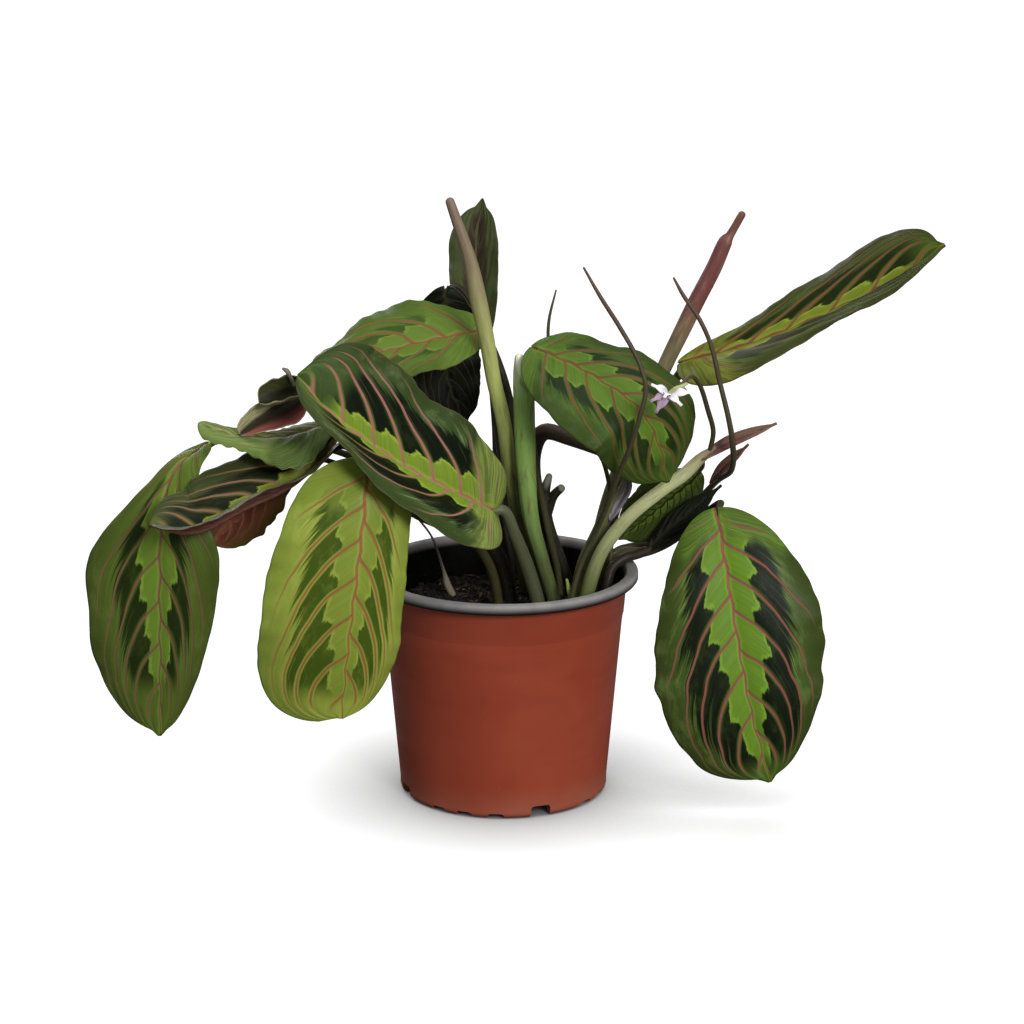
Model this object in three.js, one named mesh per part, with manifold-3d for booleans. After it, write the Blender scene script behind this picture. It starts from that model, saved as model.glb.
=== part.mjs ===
// Potted prayer plant (maranta) in a 12 cm nursery pot, in millimetres, +Z up.
// The origin is on the surface under the middle of the pot, and -Y is the front.
import * as THREE from 'three';
import { mergeVertices } from 'three/addons/utils/BufferGeometryUtils.js';
import Module from 'manifold-3d';

const wasm = await Module();
wasm.setup();

// Driving dimensions
const lipRadius = 60;
const potHeight = 101.5;
const lipHeight = 4.4;
const wallTopRadius = 54.6;
const wallFootRadius = 46;
const wallThickness = 1.4;
const stepHeight = 81;
const floorHeight = 6;
const soilLevel = 84;
const bladeThickness = 0.8;
const seatGap = 0.3;
const boreGap = 0.34;
const notchWidth = 9;
const notchHeight = 4.7;
const archWidth = 5;
const archHeight = 1.6;
const noseHalfWidth = 0.7;

// Colours and roughness of the materials
const terracotta = 0x8c3c28;
const earth = 0x1b1511;
const leafGreen = 0x3f6a2a;
const darkLeaf = 0x24381f;
const limeLeaf = 0x84a03c;
const maroonLeaf = 0x5d2f2a;
const stalkGreen = 0x7f9a4c;
const paleStalk = 0xb7c27c;
const maroonStalk = 0x6f4540;
const brownStalk = 0x3b2c24;
const dryStalk = 0xb9a98a;
const petalWhite = 0xe9e2ee;
const satin = 0.5;
const dull = 0.9;

function vector(values) {
  return new THREE.Vector3(values[0], values[1], values[2]);
}

// Value of a list at t from 0 to 1, on a smooth curve through its evenly spaced entries
function along(values, t) {
  if (typeof values === 'number') return values;
  const last = values.length - 1;
  const place = Math.min(Math.max(t, 0), 1) * last;
  const index = Math.min(Math.floor(place), last - 1);
  const u = place - index;
  const before = index > 0 ? values[index - 1] : 2 * values[0] - values[1];
  const after = index + 2 <= last ? values[index + 2] : 2 * values[last] - values[last - 1];
  return catmull(before, values[index], values[index + 1], after, u);
}

function catmull(a, b, c, d, u) {
  const linear = (c - a) * u;
  const square = (2 * a - 5 * b + 4 * c - d) * u * u;
  const cube = (3 * b - 3 * c + d - a) * u * u * u;
  return 0.5 * (2 * b + linear + square + cube);
}

// Closed solids from vertices and triangles, and meshes from solids

function solidFrom(positions, triangles) {
  const mesh = new wasm.Mesh({
    numProp: 3,
    vertProperties: new Float32Array(positions),
    triVerts: new Uint32Array(triangles),
  });
  return new wasm.Manifold(mesh);
}

function solidFromGeometry(geometry) {
  geometry.deleteAttribute('normal');
  geometry.deleteAttribute('uv');
  const merged = mergeVertices(geometry, 1e-4);
  return solidFrom(merged.attributes.position.array, merged.index.array);
}

function joined(solids) {
  return solids.reduce((whole, solid) => whole.add(solid));
}

function meshFrom(name, solid, colour, roughness) {
  const { vertProperties, triVerts } = solid.getMesh();
  const geometry = new THREE.BufferGeometry();
  geometry.setAttribute('position', new THREE.BufferAttribute(new Float32Array(vertProperties), 3));
  geometry.setIndex(new THREE.BufferAttribute(new Uint32Array(triVerts), 1));
  geometry.computeVertexNormals();
  const material = new THREE.MeshStandardMaterial({ color: colour, roughness, metalness: 0 });
  const mesh = new THREE.Mesh(geometry, material);
  mesh.name = name;
  return mesh;
}

// A tapered stalk: rings round a smooth curve through points [x, y, z, radius]
function stalk(points, { grow = 0, sides = 6, perSpan = 1 } = {}) {
  const curve = new THREE.CatmullRomCurve3(points.map(vector));
  const spans = points.length - 1;
  const steps = spans * perSpan;
  const positions = [];
  const triangles = [];
  let normal = new THREE.Vector3(1, 0.2, 0.1);
  for (let i = 0; i <= steps; i++) {
    const u = i / steps;
    const centre = curve.getPoint(u);
    const tangent = curve.getTangent(u);
    normal = normal.clone().addScaledVector(tangent, -normal.dot(tangent)).normalize();
    const side = new THREE.Vector3().crossVectors(tangent, normal);
    const radius = along(points.map((point) => point[3]), u) + grow;
    if (i === 0) centre.addScaledVector(tangent, -grow);
    if (i === steps) centre.addScaledVector(tangent, grow);
    for (let k = 0; k < sides; k++) {
      const angle = (k / sides) * 2 * Math.PI;
      const spot = centre.clone().addScaledVector(normal, radius * Math.cos(angle));
      spot.addScaledVector(side, radius * Math.sin(angle));
      positions.push(spot.x, spot.y, spot.z);
    }
  }
  for (let i = 0; i < steps; i++) {
    for (let k = 0; k < sides; k++) {
      const a = i * sides + k;
      const b = i * sides + ((k + 1) % sides);
      triangles.push(a, b, a + sides, b, b + sides, a + sides);
    }
  }
  for (let k = 1; k < sides - 1; k++) {
    triangles.push(0, k + 1, k);
    const end = steps * sides;
    triangles.push(end, end + k, end + k + 1);
  }
  return solidFrom(positions, triangles);
}

// Leaf blades

// Half-width of the outline at t, as a share of the widest half
function outline(t, peak, power) {
  const reach = t < peak ? (peak - t) / peak : (t - peak) / (1 - peak);
  return Math.pow(Math.max(1 - Math.pow(reach, power), 0), 1 / power);
}

// Direction of the midrib, of the upper face and of the right half at t
function frameAt(leaf, t) {
  const curve = leaf.curve;
  const tangent = curve.getTangentAt(Math.min(Math.max(t, 0), 1));
  const face = [0, 1, 2].map((axis) => along(leaf.face.map((entry) => entry[axis]), t));
  const normal = vector(face);
  normal.addScaledVector(tangent, -normal.dot(tangent)).normalize();
  const right = new THREE.Vector3().crossVectors(tangent, normal);
  return { centre: curve.getPointAt(t), tangent, normal, right };
}

// Point of the blade's middle surface at t along the midrib and s from -1, left, to 1, right
function bladePoint(leaf, t, s) {
  const { centre, tangent, normal, right } = frameAt(leaf, t);
  const side = s > 0 ? 'right' : 'left';
  const a = Math.abs(s);
  const half = Math.max((leaf.width / 2) * outline(t, leaf.peak, leaf.power), noseHalfWidth);
  const reach = half * along(leaf[side], t);
  const rise = THREE.MathUtils.degToRad(along(leaf.rise, t));
  const droop = THREE.MathUtils.degToRad(along(leaf.droop, t));
  const parts = 12;
  let across = 0;
  let lift = 0;
  for (let k = 0; k < parts; k++) {
    const angle = rise - droop * ((k + 0.5) / parts) * a;
    across += (Math.cos(angle) * a) / parts;
    lift += (Math.sin(angle) * a) / parts;
  }
  const turn = leaf.waves * t + leaf.phase + (s > 0 ? 0.35 : 0);
  const wave = leaf.wave * Math.pow(a, 3) * Math.sin(2 * Math.PI * turn) * (half / (leaf.width / 2));
  const lobe = -leaf.lobe * Math.pow(a, 1.5) * Math.exp(-t / 0.1);
  const toe = (s > 0 ? leaf.toe : 0) * Math.pow(a, 1.5) * Math.exp(-(1 - t) / 0.12);
  return centre
    .addScaledVector(right, Math.sign(s) * reach * across)
    .addScaledVector(normal, reach * lift + wave)
    .addScaledVector(tangent, lobe + toe);
}

// Rows closer together at the base and the tip, where the outline turns
function rowPlace(share) {
  return 0.35 * share + (0.65 * (1 - Math.cos(share * Math.PI))) / 2;
}

function blade(leaf) {
  const { rows, columns } = leaf;
  const count = rows * columns;
  const step = 1e-3;
  const upper = [];
  const lower = [];
  for (let i = 0; i < rows; i++) {
    const t = rowPlace(i / (rows - 1));
    for (let j = 0; j < columns; j++) {
      const s = (2 * j) / (columns - 1) - 1;
      const spot = bladePoint(leaf, t, s);
      const low = THREE.MathUtils.clamp(t, step, 1 - step);
      const alongMidrib = bladePoint(leaf, low + step, s).sub(bladePoint(leaf, low - step, s));
      const inner = THREE.MathUtils.clamp(s, step - 1, 1 - step);
      const across = bladePoint(leaf, low, inner + step).sub(bladePoint(leaf, low, inner - step));
      const normal = new THREE.Vector3().crossVectors(across, alongMidrib).normalize();
      upper.push(...spot.clone().addScaledVector(normal, bladeThickness / 2).toArray());
      lower.push(...spot.clone().addScaledVector(normal, -bladeThickness / 2).toArray());
    }
  }
  const triangles = [];
  for (let i = 0; i < rows - 1; i++) {
    for (let j = 0; j < columns - 1; j++) {
      const a = i * columns + j;
      const b = a + 1;
      const c = a + columns;
      const d = c + 1;
      const split = j < (columns - 1) / 2 ? [a, b, c, b, d, c] : [a, b, d, a, d, c];
      for (let k = 0; k < 6; k += 3) {
        triangles.push(split[k], split[k + 1], split[k + 2]);
        triangles.push(split[k] + count, split[k + 2] + count, split[k + 1] + count);
      }
    }
  }
  const rim = [];
  for (let j = 0; j < columns - 1; j++) rim.push(j);
  for (let i = 0; i < rows - 1; i++) rim.push(i * columns + columns - 1);
  for (let j = columns - 1; j > 0; j--) rim.push((rows - 1) * columns + j);
  for (let i = rows - 1; i > 0; i--) rim.push(i * columns);
  for (let k = 0; k < rim.length; k++) {
    const a = rim[k];
    const b = rim[(k + 1) % rim.length];
    triangles.push(a, a + count, b, b, a + count, b + count);
  }
  return solidFrom([...upper, ...lower], triangles);
}

// The stalk runs on under the base of the blade as its keel
function leafStalkPoints(leaf) {
  const start = leaf.stalk[0][3];
  const keel = [
    [0.26, 0.5],
    [0.1, 0.85 * start],
    [0, start],
  ];
  const points = keel.map(([t, radius]) => {
    const { centre, normal } = frameAt(leaf, t);
    centre.addScaledVector(normal, -0.6 * radius);
    return [...centre.toArray(), radius];
  });
  return [...points, ...leaf.stalk];
}

const plainLeaf = {
  left: 1,
  right: 1,
  rise: 12,
  droop: 25,
  peak: 0.48,
  power: 2.15,
  wave: 1.2,
  waves: 3,
  phase: 0,
  lobe: 4,
  toe: 0,
  rows: 12,
  columns: 7,
};

// Each leaf: midrib from the base to the tip, where its upper side faces, from base to tip,
// its width, and its stalk from the base down, as points with a radius
const leaves = [
  {
    name: 'leaf_right_hanging',
    colour: leafGreen,
    rib: [[94, -14, 129], [98, -24, 105], [103, -32, 75], [109, -36, 45], [117, -36, 16]],
    face: [[0, -0.87, 0.49], [0, -0.97, 0.26], [0, -0.99, 0.16]],
    width: 80,
    left: [0.95, 1, 0.97, 0.85, 0.72],
    right: [0.85, 0.85, 0.97, 1, 1.1],
    rise: 14,
    droop: [34, 38],
    peak: 0.56,
    rows: 14,
    columns: 9,
    stalk: [
      [95, -9, 132, 1.6], [96, 0, 131, 1.7], [94, 9, 127, 1.8], [86, 14, 119, 2], [74, 15, 109, 2.2],
      [63, 13, 105, 2.3], [55, 12, 104.8, 2.3], [48.5, 11, 101, 2.3], [47, 10, 84, 2.3], [47, 10, 67, 2.3],
    ],
  },
  {
    name: 'leaf_front_hanging',
    colour: limeLeaf,
    rib: [[-57, -55, 163], [-58, -64, 148], [-61, -70, 122], [-65, -72, 91], [-69, -68, 57]],
    face: [[0.19, -0.83, 0.52], [0.24, -0.94, 0.25], [0.2, -0.97, 0.16]],
    width: 76,
    left: [0.85, 0.62, 0.62, 0.7, 0.75],
    right: [0.9, 0.97, 1, 1.15, 1.6],
    rise: -4,
    droop: [16, 30],
    lobe: 2,
    toe: 9,
    rows: 14,
    columns: 9,
    stalk: [
      [-56, -50, 164, 1.6], [-53, -44, 157, 1.8], [-48, -37, 145, 2], [-39, -29, 135, 2.2],
      [-28, -20, 127, 2.2], [-15, -14, 119, 2.2], [-6, -9, 105, 2.2], [-2, -7, 85, 2.2], [-2, -7, 68, 2.2],
    ],
  },
  {
    name: 'leaf_far_left',
    colour: leafGreen,
    rib: [[-130, -20, 162], [-139, -28, 156], [-146, -34, 142], [-148, -38, 116], [-149, -38, 80], [-151, -32, 36]],
    face: [[-0.45, -0.44, 0.77], [-0.19, -0.83, 0.52], [0, -0.97, 0.26], [0, -0.99, 0.16]],
    width: 60,
    left: [0.5, 0.65, 0.88, 0.8, 0.7, 0.6],
    right: [0.4, 0.48, 1.1, 1.1, 1.15, 1.1],
    rise: 10,
    droop: [30, 34],
    rows: 14,
    columns: 9,
    stalk: [[-124, -15, 163, 1.3], [-106, -10, 163, 1.4], [-84, -8, 160, 1.5], [-60, -9, 152, 1.5], [-42, -14, 143, 1.5]],
    carrier: 'stem_left',
  },
  {
    name: 'leaf_left_pointing',
    colour: darkLeaf,
    rib: [[-73, -30, 164], [-89, -42, 151], [-110, -50, 142], [-131, -55, 133], [-150, -56, 136]],
    face: [[0, -0.15, 0.99], [0, -0.15, 0.99], [0, -0.29, 0.96]],
    width: 50,
    left: [0.5, 0.8, 1, 1, 1],
    rise: 46,
    droop: 24,
    power: 2.4,
    wave: 0.8,
    stalk: [[-69, -28, 164, 1.3], [-63, -25, 160, 1.4], [-57, -23, 156, 1.4]],
    carrier: 'stem_left',
  },
  {
    name: 'leaf_left_underside',
    colour: maroonLeaf,
    rib: [[-95, -26, 156], [-106, -25, 146], [-117, -21, 133], [-128, -17, 118]],
    face: [[0.19, 0.98, 0.03], [0.19, 0.98, 0.03]],
    width: 32,
    rise: 6,
    droop: 20,
    rows: 10,
    columns: 7,
    stalk: [[-88, -24, 158, 1.1], [-76, -18, 155, 1.2], [-62, -15, 148, 1.2], [-50, -19, 148, 1.2]],
    carrier: 'stem_left',
  },
  {
    name: 'leaf_left_pale',
    colour: leafGreen,
    rib: [[-76, -29, 174], [-94, -34, 170], [-113, -37, 171], [-130, -38, 176]],
    face: [[0, -0.29, 0.96], [0, -0.29, 0.96]],
    width: 34,
    rise: 10,
    droop: 50,
    rows: 10,
    columns: 7,
    stalk: [[-71, -26, 173, 1.1], [-60, -21, 166, 1.2], [-50, -18, 149, 1.2]],
    carrier: 'stem_left',
  },
  {
    name: 'leaf_left_curled_upper',
    colour: darkLeaf,
    rib: [[-85, -36, 190], [-94, -38, 188], [-103, -40, 186]],
    face: [[0, -0.37, 0.93], [0, -0.37, 0.93]],
    width: 20,
    rise: 70,
    droop: 60,
    rows: 9,
    columns: 7,
    stalk: [[-80, -32, 190, 1], [-68, -22, 183, 1.1], [-50, -8, 165, 1.2], [-37, -12, 138, 1.2]],
    carrier: 'stem_left',
  },
  {
    name: 'leaf_left_curled_lower',
    colour: darkLeaf,
    rib: [[-88, -29, 182], [-100, -33, 177], [-112, -37, 174]],
    face: [[0, -0.37, 0.93], [0, -0.37, 0.93]],
    width: 26,
    rise: 60,
    droop: 60,
    rows: 9,
    columns: 7,
    stalk: [[-82, -25, 182, 1], [-70, -17, 176, 1.1], [-52, -4, 157, 1.2], [-32, -10, 134, 1.2]],
    carrier: 'stem_left',
  },
  {
    name: 'leaf_centre_dark',
    colour: darkLeaf,
    rib: [[-5, -22, 134], [-24, -34, 147], [-41, -42, 157], [-59, -50, 174], [-76, -56, 188], [-86, -58, 204]],
    face: [[0.26, -0.76, 0.59], [0.31, -0.68, 0.67], [0.3, -0.65, 0.7]],
    width: 72,
    left: [1, 1, 0.85, 0.5, 0.3],
    right: [0.75, 0.85, 0.88, 0.95, 1.4],
    rise: 36,
    droop: [20, 24],
    peak: 0.5,
    rows: 14,
    columns: 9,
    stalk: [[0, -19, 133, 2.4], [5, -15, 121, 2.9], [11, -12, 104, 3.2], [16, -12, 86, 3.2], [19, -12, 68, 3.2]],
  },
  {
    name: 'leaf_upper_bright',
    colour: leafGreen,
    rib: [[-10, 18, 205], [-32, 12, 202], [-53, 6, 198], [-69, 0, 195], [-83, -6, 193]],
    face: [[0, -0.5, 0.87], [-0.1, -0.43, 0.9]],
    width: 58,
    left: [0.8, 0.75, 0.75, 0.7, 0.7],
    right: [0.9, 1, 0.95, 0.65, 0.5],
    rise: 12,
    droop: 20,
    stalk: [
      [-7, 18, 201, 1.6], [-5, 20, 187, 1.9], [-3, 22, 164, 2], [0, 22, 141, 2], [3, 20, 118, 2],
      [8, 18, 95, 2], [10, 18, 78, 2], [11, 18, 66, 2],
    ],
  },
  {
    name: 'leaf_behind_dark',
    colour: darkLeaf,
    rib: [[-25, 50, 220], [-26, 52, 198], [-25, 50, 175], [-18, 46, 158]],
    face: [[0.19, -0.88, 0.44], [0.2, -0.92, 0.35]],
    width: 34,
    rise: 10,
    wave: 2,
    waves: 4,
    stalk: [
      [-21, 55, 223, 1.3], [-13, 56, 212, 1.8], [-7, 51, 190, 2.2], [-3, 45, 158, 2.5], [-2, 38, 135, 2.6],
      [0, 33, 114, 2.6], [3, 30, 92, 2.4], [4, 29, 66, 2.4],
    ],
  },
  {
    name: 'leaf_upright',
    colour: leafGreen,
    rib: [[-10, 66, 194], [-12, 68, 219], [-12, 70, 241], [-10, 72, 257]],
    face: [[0, -0.97, 0.26], [0, -0.97, 0.26]],
    width: 30,
    left: [1, 1.05, 1, 1, 0.8],
    right: [0.7, 0.75, 0.8, 0.8, 0.7],
    rise: 40,
    droop: 10,
    stalk: [
      [-6, 65, 189, 1.7], [-1, 60, 177, 2], [3, 56, 163, 2], [6, 49, 146, 2], [8, 42, 128, 2], [10, 34, 105, 2],
      [12, 31, 84, 2], [13, 31, 66, 2],
    ],
  },
  {
    name: 'leaf_right_centre',
    colour: leafGreen,
    rib: [[15, -6, 202], [29, -16, 198], [43, -26, 192], [59, -32, 181], [67, -30, 165], [71, -24, 149]],
    face: [[0.1, -0.61, 0.78], [-0.1, -0.61, 0.78], [0.28, -0.86, 0.43]],
    width: 64,
    left: [0.85, 0.68, 0.74, 0.8, 0.8],
    right: [1, 0.94, 0.94, 0.94, 1],
    rise: 10,
    droop: [20, 30],
    rows: 13,
    columns: 9,
    stalk: [
      [12, -1, 199, 1.3], [12, 4, 186, 1.5], [14, 7, 163, 1.5], [18, 9, 140, 1.5], [22, 11, 116, 1.5],
      [25, 13, 92, 1.5], [26, 13, 66, 1.5],
    ],
  },
  {
    name: 'leaf_far_right',
    colour: leafGreen,
    rib: [[80, 6, 194], [103, -2, 202], [135, -12, 217], [166, -24, 236], [185, -32, 251]],
    face: [[-0.2, -0.6, 0.77], [-0.19, -0.46, 0.87]],
    width: 40,
    left: [0.5, 0.7, 0.95, 1.2, 1.6],
    right: [2.2, 1.5, 0.75, 0.8, 0.9],
    rise: [35, 40],
    droop: 40,
    peak: 0.6,
    rows: 13,
    columns: 9,
    stalk: [
      [80, 12, 190, 1.8], [76, 19, 182, 2], [66, 23, 160, 2], [55, 24, 134, 2], [47, 23, 108, 2],
      [43, 22, 84, 2], [42, 22, 66, 2],
    ],
  },
  {
    name: 'leaf_under_stalk',
    colour: leafGreen,
    rib: [[85, 10, 140], [73, 10, 129.5], [63, 8, 121.5], [53, 6, 114.5]],
    face: [[0.47, -0.84, -0.26], [0.47, -0.84, -0.26]],
    width: 33,
    rise: 8,
    rows: 11,
    columns: 7,
    stalk: [[88, 11, 144, 1], [88, 4, 149, 1.1], [86, -6, 151, 1.2], [84, -14, 153, 1.2]],
    carrier: 'stalk_pale',
  },
  {
    name: 'leaf_rim_dark',
    colour: darkLeaf,
    rib: [[66, 4, 110], [73, 4, 117], [83, 4, 126], [93, 4, 135]],
    face: [[-0.3, -0.79, 0.53], [-0.3, -0.79, 0.53]],
    width: 20,
    rise: 20,
    rows: 9,
    columns: 7,
    stalk: [
      [60, 2, 107, 2], [54, -1, 106.2, 2.2], [48.5, -3, 102.5, 2.2], [46, -5, 95, 2.2], [45, -6, 84, 2.2], [45, -6, 67, 2.2],
    ],
  },
];

// Stalks without a blade, from the top down: each has one or more runs of points with a radius
const stalks = [
  {
    name: 'stalk_tall',
    colour: stalkGreen,
    sides: 9,
    perSpan: 2,
    runs: [[
      [-23, 5, 265, 2], [-14, 4, 238, 3], [-11, 3, 223, 3.7], [-7, 2, 204, 3.4], [-4, 2, 186, 3.3], [0, 3, 168, 3.3],
      [4, 5, 146, 3.3], [10, 6, 120, 3.2], [15, 7, 93, 3.2], [17, 7, 79, 3.2], [18, 7, 66, 3],
    ]],
  },
  {
    name: 'leaf_rolled',
    colour: stalkGreen,
    sides: 9,
    runs: [[
      [7, -4, 198, 2], [8, -4, 192, 3.6], [9, -4, 184, 4.6], [10, -4, 163, 4.6], [12, -4, 143, 4.1],
      [15, -3, 124, 3.6], [20, -2, 105, 3], [24, -1, 84, 3], [25, -1, 66, 3],
    ]],
  },
  {
    name: 'stalk_maroon',
    colour: maroonStalk,
    sides: 8,
    runs: [[
      [104, 12, 258, 1.7], [99, 12, 249, 1.9], [97, 12, 246, 3.1], [92, 12, 234, 3.5], [85, 12, 220, 3.6],
      [79, 12, 207, 3.6], [73, 13, 194, 3.4], [65, 14, 175, 3.2], [55, 14, 152, 3.2], [47, 14, 129, 3.2],
      [42, 15, 106, 3.2], [40, 16, 84, 3.2], [40, 16, 66, 3.2],
    ]],
  },
  {
    name: 'stalk_pale',
    colour: paleStalk,
    sides: 9,
    runs: [[
      [92, -15, 160, 1.2], [86, -14, 155, 2.4], [79, -14, 148, 2.9], [69, -12, 140, 2.9], [54, -9, 126, 3],
      [44, -8, 112, 3], [39, -8, 99, 3.2], [36, -8, 84, 3.2], [35, -8, 66, 3.2],
    ]],
    bracts: [{
      rib: [[86, -14, 155], [98, -15, 163], [117, -16, 170]],
      face: [[0, -0.5, 0.87], [0, -0.5, 0.87]],
      width: 11,
      rise: 40,
      droop: 40,
      lobe: 0,
      wave: 0.5,
      rows: 8,
      columns: 5,
    }],
  },
  {
    name: 'sheath_papery',
    colour: stalkGreen,
    sides: 8,
    runs: [[
      [54, -1, 148, 0.8], [54, -1, 140, 2], [48, 0, 130, 3], [42, 3, 116, 3.2], [36, 5, 101, 3.4],
      [33, 6, 84, 3.4], [32, 6, 66, 3.4],
    ]],
  },
  {
    name: 'stem_brown',
    colour: brownStalk,
    sides: 8,
    runs: [[
      [79, -13, 148, 2.2], [74, -4, 146, 2.4], [61, 5, 146, 2.8], [31, 10, 154, 3.2], [18, 16, 157, 3.8],
      [13, 19, 149, 4], [14, 21, 127, 4], [17, 22, 99, 4], [20, 22, 82, 4], [20, 22, 66, 4],
    ]],
    carrier: 'stalk_pale',
  },
  {
    name: 'stem_left',
    colour: brownStalk,
    sides: 8,
    runs: [[
      [-62, -26, 160, 2.4], [-45, -16, 145, 2.8], [-28, -8, 131, 3], [-11, 0, 118, 3.2], [-1, 5, 103, 3.2],
      [3, 8, 84, 3.2], [3, 8, 66, 3.2],
    ]],
  },
  {
    name: 'stub_forked',
    colour: brownStalk,
    sides: 7,
    runs: [
      [[21, 16, 139, 1], [19, 16, 131, 2.1], [20, 16, 118, 2.2], [26, 17, 99, 2.2], [31, 18, 84, 2.2], [32, 18, 66, 2.2]],
      [[25, 16, 134, 1], [22, 16, 129, 1.6], [19.5, 16, 123, 1.6]],
    ],
  },
  {
    name: 'stalk_dried',
    colour: dryStalk,
    sides: 6,
    runs: [[
      [-38, 8, 122, 0.8], [-32, 10, 113, 0.9], [-27, 13, 96, 1.2], [-25, 14, 90, 2], [-22, 15, 82, 1.4], [-21, 15, 68, 1.2],
    ]],
  },
  {
    name: 'sprout',
    colour: stalkGreen,
    sides: 6,
    runs: [[[28, -14, 100, 0.6], [29, -14, 95, 1.1], [31, -14, 86, 1.3], [31, -14, 70, 1.3]]],
  },
  {
    name: 'flower_stalk_tall',
    colour: brownStalk,
    sides: 6,
    runs: [[
      [34, -44, 245, 0.5], [41, -46, 233, 0.9], [49, -50, 221, 1], [57, -54, 207, 1], [60, -56, 196, 1],
      [58, -56, 185, 1], [54, -52, 170, 1], [49, -42, 154, 1.1], [45, -32, 139, 1.2], [40, -22, 123, 1.2],
      [34, -18, 108, 1.2], [29, -18, 86, 1.2], [28, -18, 68, 1.2],
    ]],
  },
  {
    name: 'flower_stalk_right',
    colour: brownStalk,
    sides: 6,
    runs: [[
      [73, -20, 236, 0.5], [77, -22, 229, 0.9], [84, -25, 219, 1], [89, -26, 208, 1], [93, -27, 192, 1.1],
      [97, -28, 176, 1.2], [99, -26, 165, 1.3], [100, -12, 150, 1.3], [95, 12, 138, 1.4], [87, 25, 125, 1.5],
      [76, 27, 112, 1.5], [65, 23, 106, 1.5], [57, 20, 105.6, 1.5], [51, 18.5, 104, 1.5], [47, 18, 97, 1.5],
      [45, 17.5, 84, 1.5], [45, 17.5, 72, 1.5],
    ]],
    bracts: [{
      rib: [[95.5, 8, 140], [100, 0, 149], [107, -3, 157]],
      face: [[0, -0.5, 0.87], [0, -0.5, 0.87]],
      width: 10,
      rise: 30,
      droop: 30,
      lobe: 0,
      wave: 0.5,
      rows: 8,
      columns: 5,
    }],
  },
  {
    name: 'flower_stalk_thin',
    colour: brownStalk,
    sides: 6,
    runs: [[
      [23, -1, 227, 0.4], [20, 2, 213, 0.7], [20, 4, 202, 0.8], [25, 4, 183, 0.9], [37, 2, 163, 0.9],
      [44, 2, 150, 1], [48, 6, 130, 1], [48, 4.5, 109, 1], [47, 3, 93, 1], [47, 3, 67, 1],
    ]],
  },
  {
    name: 'flower_stalk_short',
    colour: brownStalk,
    sides: 6,
    runs: [[
      [74, -50, 195, 0.7], [79, -47, 199, 0.8], [83, -41, 195, 1], [88, -30, 180, 1.1], [91, -20, 168, 1.1], [90, -15, 159, 1.1],
    ]],
    carrier: 'stalk_pale',
  },
];

// Pieces of the plant

function leafParts(entry) {
  const leaf = { ...plainLeaf, ...entry };
  leaf.curve = new THREE.CatmullRomCurve3(leaf.rib.map(vector));
  return leaf;
}

const holes = [];
const solids = new Map();
const pieces = [];

function addPiece(name, solid, colour, roughness) {
  solids.set(name, solid);
  pieces.push({ name, colour, roughness });
}

// A bore in the soil for a stalk that stands in it
function boreFor(points, shape) {
  const last = points[points.length - 1];
  if (last[2] < soilLevel) holes.push(stalk(points, { ...shape, grow: boreGap }));
}

for (const entry of stalks) {
  const parts = entry.runs.map((points) => stalk(points, entry));
  for (const bract of entry.bracts ?? []) parts.push(blade(leafParts(bract)));
  addPiece(entry.name, joined(parts), entry.colour, satin);
  boreFor(entry.runs[0], entry);
}

for (const entry of leaves) {
  const leaf = leafParts(entry);
  const solid = blade(leaf).add(stalk(leafStalkPoints(leaf)));
  addPiece(leaf.name, solid, leaf.colour, satin);
  boreFor(leafStalkPoints(leaf), {});
}

// A stalk that grows from another ends in a seat on it, a seat gap clear of its skin
for (const entry of [...stalks, ...leaves]) {
  if (!entry.carrier) continue;
  const carrier = stalks.find((other) => other.name === entry.carrier);
  const skin = stalk(carrier.runs[0], { ...carrier, grow: boreGap });
  solids.set(entry.name, solids.get(entry.name).subtract(skin));
}

// The flower: petals round its throat, fused into one bloom
const flowerCentre = [70, -52, 190];
const petals = [[-9, -3, 2], [-5, -6, -6], [3, -7, -5], [7, -5, 3], [-2, -5, 7]];
const bloom = petals.map((reach) => {
  const tip = reach.map((value, axis) => flowerCentre[axis] + value);
  const middle = reach.map((value, axis) => flowerCentre[axis] + 0.55 * value);
  const petal = leafParts({
    rib: [flowerCentre, middle, tip],
    face: [[0, -0.8, 0.6], [0, -0.8, 0.6]],
    width: 6,
    lobe: 0,
    wave: 0.3,
    rows: 4,
    columns: 3,
  });
  return blade(petal);
});
addPiece('flower', joined(bloom), petalWhite, satin);

// Pot and soil

const wallSlope = (wallTopRadius - wallFootRadius) / (potHeight - lipHeight);

function wallRadius(height) {
  return wallFootRadius + wallSlope * height + (height > stepHeight ? 0.4 : 0);
}

function lathe(profile, segments) {
  const outlinePoints = profile.map(([radius, height]) => new THREE.Vector2(radius, height));
  const geometry = new THREE.LatheGeometry(outlinePoints, segments);
  geometry.rotateX(Math.PI / 2);
  return solidFromGeometry(geometry);
}

// A block that cuts through the foot ring at the angle of turn, up to height
function footCut(width, height, turn) {
  const geometry = new THREE.BoxGeometry(12, width, 2 * height);
  geometry.translate(wallFootRadius - 3, 0, 0);
  geometry.rotateZ(turn);
  return solidFromGeometry(geometry);
}

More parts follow.
